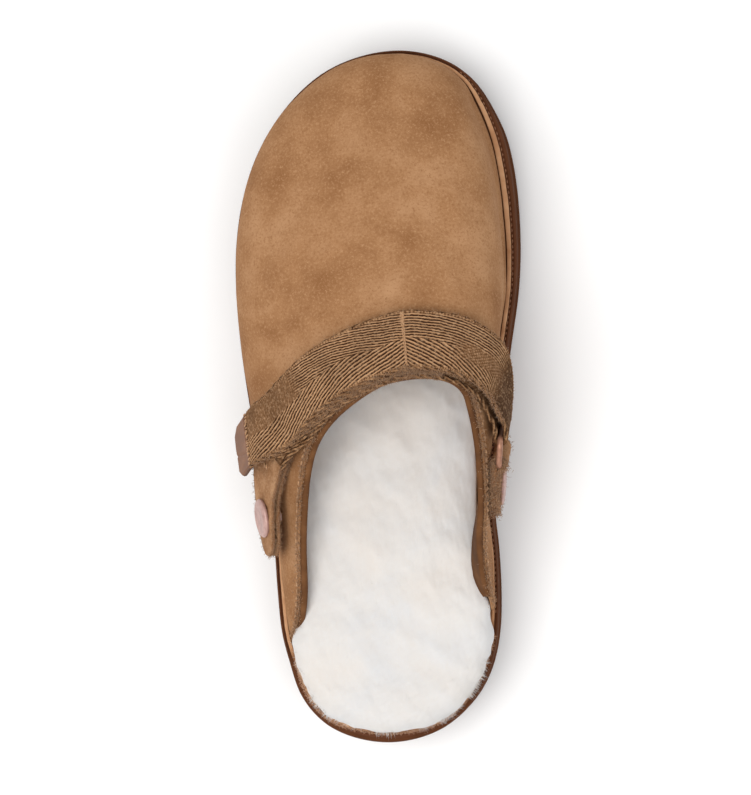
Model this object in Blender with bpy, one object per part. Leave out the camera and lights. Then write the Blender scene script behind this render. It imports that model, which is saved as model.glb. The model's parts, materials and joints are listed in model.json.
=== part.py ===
"""Left clog slipper: flared outsole, hollow suede upper, fleece footbed and a folded instep strap.

Frame: +Y runs to the toe, +X to the medial side, +Z up; the origin lies under the heel on the floor.
"""

import math

import bmesh
import bpy
import numpy as np
from mathutils import Vector
from mathutils.bvhtree import BVHTree

# Driving sizes of the whole shoe, in metres
LENGTH = 0.269
BALL_WIDTH = 0.112
HEEL_SEAT = 0.0325
SOLE_STACK = 0.030
TOE_SPRING = 0.011
INSTEP_RISE = 0.060
LEDGE = 0.005
WALL = 0.0026
EDGE_CROWN = 0.0009
GAP = 0.0003
FOOT_GAP = 0.0005

# Welt, tread, insole board and fleece
WELT_HEIGHT = 0.0016
WELT_WIDTH_SHARE = 0.34
WELT_ROUND_SHARE = 0.06
TREAD_DEPTH = 0.0026
TREAD_GROOVE = 0.0032
TREAD_BOW = 0.007
TREAD_REACH_SHARE = 0.62
TREAD_PLACES = (0.075, 0.125, 0.175, 0.225, 0.570, 0.615, 0.660, 0.705, 0.750, 0.795)
BOARD_THICK = 0.0024
BOARD_ROUND = 0.0004
BOARD_CLEARANCE = 0.0008
FLEECE_DEPTH = 0.012
FLEECE_CLEARANCE = 0.0026
LOCK_LENGTH = 0.0022
LOCK_COUNT = 46
LOCK_TWIST = 0.03
LOCK_SWELL = 0.08

# Where the footbed widens over the ledge at the open heel, in places round the sole past the upper's ends
HEEL_LAG = 0.004
HEEL_RUN = 0.030

# How much further in the footbed stays at the very back of the heel, and over which places round the sole
BACK_INSET = 0.0024
BACK_RUN = 0.130

# Strap tape, closure patch, label, ring, tabs and rivets
TAPE_WIDTH = 0.0215
TAPE_THICK = 0.0013
LABEL_LENGTH = 0.0125
LABEL_THICK = 0.0020
LABEL_CHAMFER = 0.0035
ROD_RADIUS = 0.0011
RING_GAP = 0.0085
RING_CORNER = 0.0030
TAB_WIDTH = 0.0200
TAB_THICK = 0.0017
CAP_RADIUS = 0.0074
CAP_HEIGHT = 0.0026
POST_RADIUS = 0.0020
WASHER_RADIUS = 0.0042
WASHER_THICK = 0.0010

# Where the strap's pieces begin and end along their lines
TAPE_START = 0.0440
TAB_LAP = 0.0080
TAB_RAMP = 0.0160
LATERAL_TAIL = 0.0150
MEDIAL_TAIL = 0.0108
TAB_CLOSE = 0.0046
TAB_STANDOFF = 0.0030
TAB_TILT = 9.0
STANDOFF_RUN = 0.0270
RIVET_REACH = 0.0120
RING_LEAD = 0.0140
RING_PLAY = 0.0010
PATCH_START = 0.0280
END_TWIST = 16.0
TWIST_RUN = 0.0250
END_REST = 0.80
PATCH_EDGE = 0.0012
PATCH_END_STATIONS = 3
WASHER_CLEARANCE = 0.0010

# Folds round the ring's bars: inside radius, room between the leaves, and the bar's middle off the wall
FOLD_INNER = ROD_RADIUS + GAP
FOLD_RISE = 2.0 * FOLD_INNER
BAR_OFF = TAB_THICK + FOLD_INNER

# How finely the curved pieces are faceted
OUTLINE_FACETS = 96
TREAD_STEPS = 8
RIB_STEPS = 3
RIB_FACETS = 9
TAPE_FACETS = 2
TAPE_SPACING = 0.0035
WRAP_STEPS = 6
TIP_STEPS = 5
CORNER_STEPS = 3
ROD_FACETS = 10
TURN_FACETS = 24

# Sole outline. along: share of LENGTH from the heel; centre and half: shares of BALL_WIDTH;
# lateral and medial: width of the ledge round the upper's foot, shares of LEDGE
SOLE_OUTLINE = (
    (0.000, 0.000, 0.000, 1.00, 1.00),
    (0.030, 0.000, 0.229, 1.00, 1.00),
    (0.073, 0.006, 0.319, 1.00, 1.00),
    (0.116, 0.011, 0.359, 0.95, 0.95),
    (0.160, 0.007, 0.382, 0.90, 0.85),
    (0.225, 0.000, 0.392, 0.90, 0.75),
    (0.281, -0.009, 0.393, 0.90, 0.66),
    (0.334, -0.023, 0.394, 0.90, 0.66),
    (0.385, -0.035, 0.409, 0.90, 0.75),
    (0.486, -0.046, 0.444, 0.90, 0.88),
    (0.573, -0.048, 0.474, 0.90, 0.95),
    (0.660, -0.043, 0.497, 0.90, 1.02),
    (0.703, -0.041, 0.500, 0.90, 1.10),
    (0.768, -0.035, 0.490, 0.90, 1.25),
    (0.833, -0.023, 0.460, 0.88, 1.32),
    (0.877, -0.010, 0.422, 0.85, 1.28),
    (0.920, 0.003, 0.361, 0.82, 1.10),
    (0.964, 0.022, 0.265, 0.80, 0.90),
    (1.000, 0.040, 0.000, 0.80, 0.80),
)

# Sole heights. along: share of LENGTH; lift: underside above the floor, share of TOE_SPRING;
# top: upper edge of the sole above the floor, share of SOLE_STACK
SOLE_PROFILE = (
    (0.000, 0.260, 1.030),
    (0.045, 0.000, 1.015),
    (0.280, 0.000, 0.985),
    (0.345, 0.270, 0.955),
    (0.455, 0.270, 0.920),
    (0.545, 0.000, 0.885),
    (0.730, 0.000, 0.840),
    (0.820, 0.140, 0.865),
    (0.910, 0.480, 0.970),
    (1.000, 1.000, 1.120),
)

# Side of the sole from its upper edge down. inset: share of the ledge; down: share of the side's height
SOLE_SIDE = (
    (0.42, 0.000),
    (0.31, 0.030),
    (0.26, 0.110),
    (0.20, 0.480),
    (0.15, 0.540),
    (0.36, 0.575),
    (0.36, 0.610),
    (0.06, 0.640),
    (0.00, 0.760),
    (0.05, 0.920),
    (0.40, 1.000),
)

# Side of the fleece from its top down. depth: height above the board; inset: how far inside the fleece's
# widest outline, both shares of FLEECE_DEPTH; lock: how far its locks stand out, share of LOCK_LENGTH
FLEECE_SIDE = (
    (1.00, 0.90, 0.0),
    (0.96, 0.54, 0.6),
    (0.78, 0.25, 0.9),
    (0.50, 0.10, 1.0),
    (0.22, 0.07, 0.8),
    (0.00, 0.10, 0.0),
)

# Rivet cap from its middle outwards and down. radius: share of CAP_RADIUS; height: share of CAP_HEIGHT
CAP_SIDE = (
    (0.00, 0.84),
    (0.45, 0.88),
    (0.72, 1.00),
    (0.90, 0.88),
    (1.00, 0.45),
    (0.97, 0.00),
)

# Ribs of the upper from the lateral end round the toe to the medial end.
# foot: place round the sole, 0 at the heel, 1 at the toe, 2 at the heel again;
# along, across and height: the collar edge, shares of LENGTH, BALL_WIDTH and INSTEP_RISE;
# rise, bulge and reach: how the rib leaves its foot and its collar edge, shares of INSTEP_RISE,
# LEDGE and INSTEP_RISE; drop: slope at the collar edge in degrees
UPPER_RIBS = (
    (0.250, 0.152, -0.322, 0.070, 0.030, 0.00, 0.030, 75),
    (0.278, 0.183, -0.296, 0.235, 0.100, 0.10, 0.080, 74),
    (0.315, 0.225, -0.282, 0.350, 0.140, 0.20, 0.120, 72),
    (0.365, 0.295, -0.280, 0.455, 0.180, 0.30, 0.150, 70),
    (0.405, 0.354, -0.271, 0.540, 0.220, 0.35, 0.180, 66),
    (0.450, 0.400, -0.254, 0.640, 0.270, 0.40, 0.220, 60),
    (0.495, 0.437, -0.223, 0.745, 0.320, 0.40, 0.280, 52),
    (0.545, 0.470, -0.165, 0.865, 0.380, 0.40, 0.360, 45),
    (0.605, 0.497, -0.089, 0.940, 0.420, 0.40, 0.460, 38),
    (0.700, 0.520, 0.003, 0.985, 0.440, 0.40, 0.660, 31),
    (0.830, 0.528, 0.080, 1.000, 0.440, 0.35, 0.850, 26),
    (0.985, 0.530, 0.137, 1.000, 0.430, 0.30, 0.950, 24),
    (1.140, 0.529, 0.190, 0.990, 0.440, 0.35, 0.800, 25),
    (1.270, 0.522, 0.245, 0.965, 0.460, 0.40, 0.600, 30),
    (1.380, 0.507, 0.285, 0.915, 0.460, 0.45, 0.420, 38),
    (1.455, 0.483, 0.304, 0.840, 0.420, 0.45, 0.320, 48),
    (1.515, 0.449, 0.320, 0.750, 0.360, 0.45, 0.260, 58),
    (1.565, 0.410, 0.331, 0.660, 0.300, 0.40, 0.200, 66),
    (1.605, 0.360, 0.338, 0.575, 0.250, 0.35, 0.170, 72),
    (1.640, 0.300, 0.333, 0.500, 0.200, 0.30, 0.140, 75),
    (1.675, 0.246, 0.345, 0.380, 0.150, 0.20, 0.120, 76),
    (1.708, 0.203, 0.368, 0.170, 0.070, 0.05, 0.060, 78),
)

# Strap lines on the upper. along and across: shares of LENGTH and BALL_WIDTH;
# height: above the floor, share of INSTEP_RISE.
# The upper layer starts at the label, the lower one at the tip of the lateral tab
TOP_LATERAL_LINE = (
    (0.434, -0.432, 0.82),
    (0.460, -0.371, 1.04),
    (0.490, -0.308, 1.20),
)
LOWER_LATERAL_LINE = (
    (0.276, -0.385, 0.71),
    (0.334, -0.400, 0.76),
    (0.380, -0.408, 0.80),
    (0.420, -0.400, 0.88),
    (0.452, -0.365, 1.01),
    (0.484, -0.300, 1.17),
)
INSTEP_LINE = (
    (0.528, -0.201, 1.33),
    (0.554, -0.104, 1.42),
    (0.572, -0.003, 1.47),
    (0.582, 0.083, 1.48),
    (0.581, 0.148, 1.48),
    (0.572, 0.257, 1.42),
    (0.554, 0.330, 1.32),
    (0.535, 0.392, 1.22),
    (0.514, 0.414, 1.12),
    (0.486, 0.408, 1.03),
    (0.458, 0.397, 0.96),
)
RING_SPOT = (0.438, 0.392, 0.93)
MEDIAL_RIVET_SPOT = (0.386, 0.385, 0.84)


def curve(places, values, level=False, end_slopes=None):
    """Cubic through a table's rows; level keeps flat stretches flat."""
    places = np.asarray(places, float)
    values = np.asarray(values, float)
    steps = np.diff(places)
    slopes = np.diff(values) / steps
    tangents = np.empty_like(values)
    tangents[0] = slopes[0]
    tangents[-1] = slopes[-1]
    for i in range(1, len(places) - 1):
        before, after = slopes[i - 1], slopes[i]
        if not level:
            tangents[i] = (before * steps[i] + after * steps[i - 1]) / (steps[i] + steps[i - 1])
        elif before * after <= 0.0:
            tangents[i] = 0.0
        else:
            tangents[i] = 2.0 * before * after / (before + after)
    if end_slopes is not None:
        tangents[0], tangents[-1] = end_slopes

    def at(place):
        place = min(max(place, places[0]), places[-1])
        i = min(int(np.searchsorted(places, place, side="right")) - 1, len(places) - 2)
        share = (place - places[i]) / steps[i]
        square, cube = share ** 2, share ** 3
        return float(
            values[i] * (2 * cube - 3 * square + 1)
            + tangents[i] * steps[i] * (cube - 2 * square + share)
            + values[i + 1] * (3 * square - 2 * cube)
            + tangents[i + 1] * steps[i] * (cube - square)
        )

    return at


def ease(share):
    """Smooth step from 0 to 1."""
    share = min(max(share, 0.0), 1.0)
    return share * share * (3.0 - 2.0 * share)


def column(table, index):
    return [row[index] for row in table]


def turn_of(along):
    """Place round the sole of a share of the length; even steps of it round the toe and heel evenly."""
    return math.acos(1.0 - 2.0 * along) / math.pi


TURNS = [turn_of(row[0]) for row in SOLE_OUTLINE]
HALVES = column(SOLE_OUTLINE, 2)
HALF_SLOPES = (HALVES[1] / TURNS[1], -HALVES[-2] / (1.0 - TURNS[-2]))
outline_centre = curve(TURNS, column(SOLE_OUTLINE, 1), end_slopes=(0.0, 0.0))
outline_half = curve(TURNS, HALVES, end_slopes=HALF_SLOPES)
lateral_ledge = curve(TURNS, column(SOLE_OUTLINE, 3), level=True)
medial_ledge = curve(TURNS, column(SOLE_OUTLINE, 4), level=True)
sole_lift = curve(column(SOLE_PROFILE, 0), column(SOLE_PROFILE, 1), level=True)
sole_edge = curve(column(SOLE_PROFILE, 0), column(SOLE_PROFILE, 2), level=True)


def place_of(along):
    return along * LENGTH - HEEL_SEAT


def along_of(y):
    return (y + HEEL_SEAT) / LENGTH


def sole_top(y):
    return sole_edge(along_of(y)) * SOLE_STACK


def sole_bottom(y):
    return sole_lift(along_of(y)) * TOE_SPRING


def outline_point(around):
    around = around % 2.0
    turn, side = (around, -1.0) if around <= 1.0 else (2.0 - around, 1.0)
    x = (outline_centre(turn) + side * outline_half(turn)) * BALL_WIDTH
    return Vector((x, place_of(0.5 - 0.5 * math.cos(math.pi * turn)), 0.0))


def outline_normal(around):
    reach = 0.004
    run = outline_point(around + reach) - outline_point(around - reach)
    return Vector((-run.y, run.x, 0.0)).normalized()


def ledge(around):
    around = around % 2.0
    return LEDGE * (lateral_ledge(around) if around <= 1.0 else medial_ledge(2.0 - around))


def rail(around, inset):
    """Point of the sole's outline moved inwards."""
    return outline_point(around) - outline_normal(around) * inset


def ring_of(inset, height):
    """Closed ring of points: inset and height are worked out from each place round the sole."""
    ring = []
    for k in range(OUTLINE_FACETS):
        around = 2.0 * k / OUTLINE_FACETS
        point = rail(around, inset(around))
        point.z = height(point.y, around)
        ring.append(point)
    return ring


rib_columns = [curve(range(len(UPPER_RIBS)), column(UPPER_RIBS, i)) for i in range(8)]


def upper_rib(index):
    """The four points that steer one rib of the upper."""
    foot, along, across, height, rise, bulge, reach, drop = [at(index) for at in rib_columns]
    base = rail(foot, ledge(foot))
    base.z = sole_top(base.y) + FOOT_GAP
    edge = Vector((across * BALL_WIDTH, place_of(along), 0.0))
    edge.z = sole_top(edge.y) + height * INSTEP_RISE
    outward = outline_normal(foot)
    lift = base + outward * bulge * LEDGE + Vector((0.0, 0.0, rise * INSTEP_RISE))
    away = base - edge
    away.z = 0.0
    away = (away + outward * 2.0 * LEDGE).normalized()
    slope = math.radians(drop)
    lean = edge + (away * math.cos(slope) - Vector((0.0, 0.0, math.sin(slope)))) * reach * INSTEP_RISE
    return base, lift, lean, edge


def upper_point(index, share):
    a, b, c, d = upper_rib(index)
    rest = 1.0 - share
    return a * rest ** 3 + b * 3 * share * rest ** 2 + c * 3 * share ** 2 * rest + d * share ** 3


def upper_grid(steps, facets):
    count = (len(UPPER_RIBS) - 1) * steps
    return [[upper_point(i / steps, j / facets) for j in range(facets + 1)] for i in range(count + 1)]


def grid_normals(grid):
    rows, columns = len(grid), len(grid[0])
    normals = []
    for i in range(rows):
        line = []
        for j in range(columns):
            along = grid[min(i + 1, rows - 1)][j] - grid[max(i - 1, 0)][j]
            up = grid[i][min(j + 1, columns - 1)] - grid[i][max(j - 1, 0)]
            line.append(up.cross(along).normalized())
        normals.append(line)
    return normals


def surface_tree():
    grid = upper_grid(6, 24)
    points = [p for line in grid for p in line]
    columns = len(grid[0])
    faces = []
    for i in range(len(grid) - 1):
        for j in range(columns - 1):
            a = i * columns + j
            faces.append((a, a + 1, a + columns + 1, a + columns))
    return BVHTree.FromPolygons(points, faces)


def make_material(name, colour, roughness, metallic=0.0):
    material = bpy.data.materials.new(name)
    material.use_nodes = True
    shader = material.node_tree.nodes["Principled BSDF"]
    shader.inputs["Base Color"].default_value = (*colour, 1.0)
    shader.inputs["Roughness"].default_value = roughness
    shader.inputs["Metallic"].default_value = metallic
    return material


def make_object(name, points, faces, material, smooth_angle=40.0):
    mesh = bpy.data.meshes.new(name)
    mesh.from_pydata([tuple(p) for p in points], [], faces)
    form = bmesh.new()
    form.from_mesh(mesh)
    bmesh.ops.recalc_face_normals(form, faces=form.faces)
    form.to_mesh(mesh)
    form.free()
    mesh.materials.append(material)
    mesh.shade_smooth()
    mesh.set_sharp_from_angle(angle=math.radians(smooth_angle))
    piece = bpy.data.objects.new(name, mesh)
    bpy.context.scene.collection.objects.link(piece)
    return piece


def cap_faces(start, count, flip):
    """Faces across a ring whose two sides are paired about its heel and toe points."""
    faces = [(start, start + 1, start + count - 1)]
    half = count // 2
    for k in range(1, half - 1):
        faces.append((start + k, start + k + 1, start + count - k - 1, start + count - k))
    faces.append((start + half - 1, start + half, start + half + 1))
    return [face[::-1] for face in faces] if flip else faces


def ring_bands(rings, closed):
    count = len(rings[0])
    faces = []
    for r in range(len(rings) if closed else len(rings) - 1):
        below = r * count
        above = ((r + 1) % len(rings)) * count
        for k in range(count):
            after = (k + 1) % count
            faces.append((below + k, below + after, above + after, above + k))
    return faces


def capped_solid(name, rings, material):
    """Solid through a stack of rings, closed at both ends."""
    count = len(rings[0])
    points = [p for ring in rings for p in ring]
    faces = ring_bands(rings, closed=False)
    faces += cap_faces(0, count, flip=True)
    faces += cap_faces((len(rings) - 1) * count, count, flip=False)
    return make_object(name, points, faces, material)


def loop_solid(name, rings, material):
    """Solid whose rings close on themselves, like a tyre."""
    points = [p for ring in rings for p in ring]
    return make_object(name, points, ring_bands(rings, closed=True), material)


def sheet_solid(name, outer, inner, material, rim=None):
    """Solid between two grids of the same size; rim holds extra points along the last column."""
    rows, columns = len(outer), len(outer[0])
    width = columns * 2 + (1 if rim else 0)
    points = []
    for i in range(rows):
        points += outer[i]
        if rim:
            points.append(rim[i])
        points += inner[i][::-1]
    faces = []
    for i in range(rows - 1):
        for j in range(width):
            a = i * width + j
            b = i * width + (j + 1) % width
            faces.append((a, b, b + width, a + width))
    last = (rows - 1) * width
    for j in range(columns - 1):
        mate = width - 1 - j
        faces.append((j, mate, mate - 1, j + 1))
        faces.append((last + j, last + j + 1, last + mate - 1, last + mate))
    if rim:
        faces.append((columns - 1, columns + 1, columns))
        faces.append((last + columns - 1, last + columns, last + columns + 1))
    return make_object(name, points, faces, material)


def cut_with(piece, cutter):
    cutter.hide_render = True
    cutter.display_type = "WIRE"
    cut = piece.modifiers.new("cut_" + cutter.name, "BOOLEAN")
    cut.operation = "DIFFERENCE"
    cut.solver = "EXACT"
    cut.object = cutter


def make_outsole(material):
    rings = []
    for inset, down in SOLE_SIDE:
        rings.append(ring_of(
            lambda around, share=inset: ledge(around) * share,
            lambda y, around, share=down: sole_top(y) + (sole_bottom(y) - sole_top(y)) * share,
        ))
    return capped_solid("outsole", rings, material)


def make_tread_cutter():
    """Bowed grooves across the tread, between its lugs."""
    reach = BALL_WIDTH * TREAD_REACH_SHARE
    points = []
    faces = []
    for along in TREAD_PLACES:
        start = len(points)
        for k in range(TREAD_STEPS + 1):
            side = 2.0 * k / TREAD_STEPS - 1.0
            y = place_of(along) + TREAD_BOW * (1.0 - side ** 2)
            roof = sole_bottom(y) + TREAD_DEPTH
            for shift in (-0.5, 0.5):
                for z in (-TREAD_DEPTH, roof):
                    points.append((side * reach, y + shift * TREAD_GROOVE, z))
        for k in range(TREAD_STEPS):
            a = start + k * 4
            for one, two in ((0, 1), (1, 3), (3, 2), (2, 0)):
                faces.append((a + one, a + two, a + two + 4, a + one + 4))
        end = start + TREAD_STEPS * 4
        faces.append((start, start + 2, start + 3, start + 1))
        faces.append((end, end + 1, end + 3, end + 2))
    return make_object("tread_cutter", points, faces, None)


def make_welt(material):
    """Thin flange on the ledge, close round the upper's foot."""
    outer = 1.0 - WELT_WIDTH_SHARE

    def ring(share, clear, height):
        return ring_of(
            lambda around: ledge(around) * share - clear,
            lambda y, around: sole_top(y) + GAP + height,
        )

    rings = (
        ring(1.0, GAP, 0.0),
        ring(1.0, GAP, WELT_HEIGHT),
        ring(outer + WELT_ROUND_SHARE, 0.0, WELT_HEIGHT),
        ring(outer, 0.0, WELT_HEIGHT / 2.0),
        ring(outer, 0.0, 0.0),
    )
    return loop_solid("welt", rings, material)


def make_upper(material):
    outer = upper_grid(RIB_STEPS, RIB_FACETS)
    normals = grid_normals(outer)
    inner = [[p - n * WALL for p, n in zip(line, ways)] for line, ways in zip(outer, normals)]
    rim = []
    for line, back in zip(outer, inner):
        crown = (line[-1] - line[-2]).normalized() * EDGE_CROWN
        rim.append((line[-1] + back[-1]) / 2.0 + crown)
    return sheet_solid("upper", outer, inner, material, rim)


def heel_share(around):
    """1 round the open heel, falling to 0 where the upper's walls begin."""
    around = around % 2.0
    first, last = UPPER_RIBS[0][0], UPPER_RIBS[-1][0]
    from_end = first - around if around < 1.0 else around - last
    return ease((from_end - HEEL_LAG) / HEEL_RUN)


def inside_inset(around, clearance):
    """Inset of what lies inside the upper; at the open heel it reaches the ledge."""
    back = BACK_INSET * (1.0 - ease(abs((around + 1.0) % 2.0 - 1.0) / BACK_RUN))
    return ledge(around) + GAP + back + (WALL + clearance) * (1.0 - heel_share(around))


def make_insole(material):
    def ring(height, shrink):
        return ring_of(
            lambda around: inside_inset(around, BOARD_CLEARANCE) + shrink,
            lambda y, around: sole_top(y) + GAP + height,
        )

    rings = [ring(BOARD_THICK, BOARD_ROUND), ring(BOARD_THICK - BOARD_ROUND, 0.0), ring(0.0, 0.0)]
    return capped_solid("insole", rings, material)


def lock_wave(around, turns):
    """Pointed waves round the fleece, one for each lock."""
    phase = (around / 2.0 * turns) % 1.0
    return 1.0 - abs(2.0 * phase - 1.0)


def make_fleece(material):
    """Deep fleece with its locks standing out round the rim and over the top."""
    base = BOARD_THICK + 2.0 * GAP

    def ring(depth, shrink, lock):
        def inset(around):
            swing = LOCK_LENGTH * lock * lock_wave(around + LOCK_TWIST * depth, LOCK_COUNT)
            inset_here = inside_inset(around, FLEECE_CLEARANCE) + FLEECE_DEPTH * shrink
            return inset_here - swing * heel_share(around)

        def height(y, around):
            swell = LOCK_SWELL * lock_wave(around + depth, LOCK_COUNT // 2)
            return sole_top(y) + base + FLEECE_DEPTH * depth * (1.0 - swell * depth)

        return ring_of(inset, height)

    return capped_solid("fleece", [ring(*row) for row in FLEECE_SIDE], material)


def line_points(table):
    return [Vector((row[1] * BALL_WIDTH, place_of(row[0]), row[2] * INSTEP_RISE)) for row in table]


def smooth_line(points, spacing):
    """Evenly spaced points on a smooth curve through a few."""
    lengths = [0.0]
    for a, b in zip(points, points[1:]):
        lengths.append(lengths[-1] + (b - a).length)
    axes = [curve(lengths, [p[axis] for p in points]) for axis in range(3)]
    count = int(round(lengths[-1] / spacing))
    return [Vector([at(lengths[-1] * k / count) for at in axes]) for k in range(count + 1)]


class Frame:
    """Place on the upper with its outward, forward and sideways directions."""

    def __init__(self, place, out, run):
        self.place = place
        self.out = out.normalized()
        self.run = (run - self.out * run.dot(self.out)).normalized()
        self.side = self.out.cross(self.run)

    def at(self, across, off, ahead=0.0):
        return self.place + self.side * across + self.out * off + self.run * ahead

    def moved(self, ahead, off=0.0):
        return Frame(self.at(0.0, off, ahead), self.out, self.run)

    def turned(self, degrees):
        """The same place turned about its run, its outward direction going to its side."""
        angle = math.radians(degrees)
        return Frame(self.place, self.out * math.cos(angle) + self.side * math.sin(angle), self.run)

    def toward(self, other, share):
        place = self.place.lerp(other.place, share)
        return Frame(place, self.out.lerp(other.out, share), self.run.lerp(other.run, share))


def nearest(tree, point, out=None):
    """Nearest place on the upper and its outward direction."""
    place, normal, _, _ = tree.find_nearest(point)
    guide = out if out is not None else point - place
    return place, (-normal if normal.dot(guide) < 0.0 else normal)


def lift_over(tree, frame, halves):
    """How far a flat piece at this frame has to stand off to clear the wall."""
    need = 0.0
    for across in halves:
        point = frame.at(across, 0.0)
        place, normal = nearest(tree, point, frame.out)
        need = max(need, (place - point).dot(normal) / max(normal.dot(frame.out), 0.3))
    return need + GAP


def frames_on(tree, points, width):
    """Frames along a line laid on the upper, each clear of the wall across the tape's width."""
    spots = [nearest(tree, point) for point in points]
    last = len(spots) - 1
    frames = []
    for i, (place, _) in enumerate(spots):
        near = spots[max(i - 2, 0):i + 3]
        mean = sum((normal for _, normal in near), Vector())
        run = spots[min(i + 1, last)][0] - spots[max(i - 1, 0)][0]
        frames.append(Frame(place, mean, run))
    across = [width * share for share in (-0.5, -0.25, 0.0, 0.25, 0.5)]
    lifts = [lift_over(tree, frame, across) for frame in frames]
    peaks = [max(lifts[max(i - 1, 0):i + 2]) for i in range(last + 1)]
    for i, frame in enumerate(frames):
        near = peaks[max(i - 1, 0):i + 2]
        frame.place = frame.place + frame.out * max(lifts[i], sum(near) / len(near))
    return frames


def run_lengths(frames):
    lengths = [0.0]
    for a, b in zip(frames, frames[1:]):
        lengths.append(lengths[-1] + (b.place - a.place).length)
    return lengths


def frame_along(frames, lengths, distance):
    distance = min(max(distance, 0.0), lengths[-1])
    i = min(max(int(np.searchsorted(lengths, distance, side="right")) - 1, 0), len(frames) - 2)
    share = (distance - lengths[i]) / (lengths[i + 1] - lengths[i])
    return frames[i].toward(frames[i + 1], share)


def band(stations, faces=TAPE_FACETS):
    """Lower and upper grids of a strip; a station is a frame, half its width and two heights."""
    low = []
    high = []
    for frame, half, bottom, top in stations:
        shares = [2.0 * k / faces - 1.0 for k in range(faces + 1)]
        low.append([frame.at(half * share, bottom) for share in shares])
        high.append([frame.at(half * share, top) for share in shares])
    return low, high


def wrap(bar, way, half, inner, outer, faces=TAPE_FACETS):
    """Half turn round a bar: grids on its inside and outside; way is 1 ahead of the bar, -1 behind it."""
    inside = []
    outside = []
    shares = [2.0 * k / faces - 1.0 for k in range(faces + 1)]
    for k in range(1, WRAP_STEPS):
        angle = math.pi * k / WRAP_STEPS
        off, ahead = -math.cos(angle), way * math.sin(angle)
        inside.append([bar.at(half * s, off * inner, ahead * inner) for s in shares])
        outside.append([bar.at(half * s, off * outer, ahead * outer) for s in shares])
    return inside, outside


class Strap:
    """Where the tape, tabs, ring and rivets lie on the upper."""

    def __init__(self, tree):
        self.tree = tree
        top = line_points(TOP_LATERAL_LINE + INSTEP_LINE)
        lower = line_points(LOWER_LATERAL_LINE + INSTEP_LINE)
        self.ring = self.ring_frame()
        self.front = self.ring.moved(-(RING_GAP / 2.0 + ROD_RADIUS))
        self.rear = self.ring.moved(RING_GAP / 2.0 + ROD_RADIUS)
        top = self.joined(frames_on(tree, smooth_line(top, TAPE_SPACING), TAPE_WIDTH))
        lower = self.joined(frames_on(tree, smooth_line(lower, TAPE_SPACING), TAPE_WIDTH))
        self.top = self.twisted(top)
        self.lower = self.stood_off(lower)
        self.top_lengths = run_lengths(self.top)
        self.lower_lengths = run_lengths(self.lower)

    def ring_frame(self):
        """Flat frame under the ring and the medial tab, clear of the wall all along."""
        spot, rivet = line_points((RING_SPOT, MEDIAL_RIVET_SPOT))
        start, out = nearest(self.tree, spot)
        end, out_end = nearest(self.tree, rivet)
        frame = Frame(start, out + out_end, end - start)
        half = TAPE_WIDTH / 2.0 + RING_PLAY + 2.0 * ROD_RADIUS
        reach = RING_GAP / 2.0 + 2.0 * ROD_RADIUS
        tail = reach + RIVET_REACH + MEDIAL_TAIL
        spots = [(ahead, half) for ahead in (-reach, 0.0, reach)]
        spots += [(tail * share, TAB_WIDTH / 2.0) for share in (0.4, 0.7, 1.0)]
        lifts = [lift_over(self.tree, frame.moved(ahead), (-wide, 0.0, wide)) for ahead, wide in spots]
        return frame.moved(0.0, max(lifts))

    def joined(self, frames):
        """The line's last stretch turned level with the ring."""
        lengths = run_lengths(frames)
        total = lengths[-1]
        result = []
        for frame, length in zip(frames, lengths):
            left = total - length
            share = ease(1.0 - left / RING_LEAD)
            result.append(frame.toward(self.front.moved(-left), share))
        return result

    def stood_off(self, frames):
        """The lateral tab's free end bent away from the wall and turned steeper."""
        result = []
        for frame, length in zip(frames, run_lengths(frames)):
            share = 1.0 - ease((length - LATERAL_TAIL) / STANDOFF_RUN)
            result.append(frame.turned(TAB_TILT * share).moved(0.0, TAB_STANDOFF * share))
        return result

    def twisted(self, frames):
        """The upper layer's free end turned about its run, its toe side dipping beyond the lower layer."""
        result = []
        for frame, length in zip(frames, run_lengths(frames)):
            result.append(frame.turned(END_TWIST * (1.0 - ease(length / TWIST_RUN))))
        return result

    def base(self, left_behind, ahead, rest=1.0):
        """Height of the tape's underside: over the tab at one end, level with the ring's at the other."""
        over_tab = rest * (2.0 * TAB_THICK + 2.0 * GAP) * (1.0 - ease(left_behind / TAB_RAMP))
        at_ring = (TAB_THICK - TAPE_THICK) * ease(1.0 - ahead / RING_LEAD)
        return over_tab + at_ring

    def layer(self, frames, lengths, start, low, high, past, rest=1.0):
        """Stations of one layer of the tape; past is where its ramp off the tab begins."""
        stations = []
        for frame, length in zip(frames, lengths):
            if length < start - 1e-6:
                continue
            base = self.base(length - past, lengths[-1] - length, rest)
            stations.append((frame, TAPE_WIDTH / 2.0, base + low, base + high))
        return stations


def make_strap(strap, material):
    lower = strap.layer(
        strap.lower, strap.lower_lengths, TAPE_START, 0.0, TAPE_THICK, TAPE_START + TAB_LAP,
    )
    upper_low = TAPE_THICK + FOLD_RISE
    upper_high = upper_low + TAPE_THICK
    top = strap.layer(strap.top, strap.top_lengths, 0.0, upper_low, upper_high, TAB_LAP, END_REST)
    bar = strap.front.moved(0.0, BAR_OFF)
    low, high = band(lower)
    inside, outside = wrap(bar, 1.0, TAPE_WIDTH / 2.0, FOLD_INNER, FOLD_INNER + TAPE_THICK)
    top_low, top_high = band(top[::-1])
    inner = high + inside + top_low
    outer = low + outside + top_high
    return sheet_solid("strap", outer, inner, material)


def make_closure(strap, material):
    """Hook and loop patch between the tape's two layers."""
    stations = []
    low, high = TAPE_THICK + GAP, TAPE_THICK + FOLD_RISE - GAP
    for station in strap.layer(strap.top, strap.top_lengths, PATCH_START, low, high, TAB_LAP, END_REST):
        frame, half, bottom, top = station
        stations.append((frame, half - PATCH_EDGE, bottom, top))
    stations = stations[:-PATCH_END_STATIONS]
    low_grid, high_grid = band(stations)
    return sheet_solid("closure", high_grid, low_grid, material)


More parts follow.
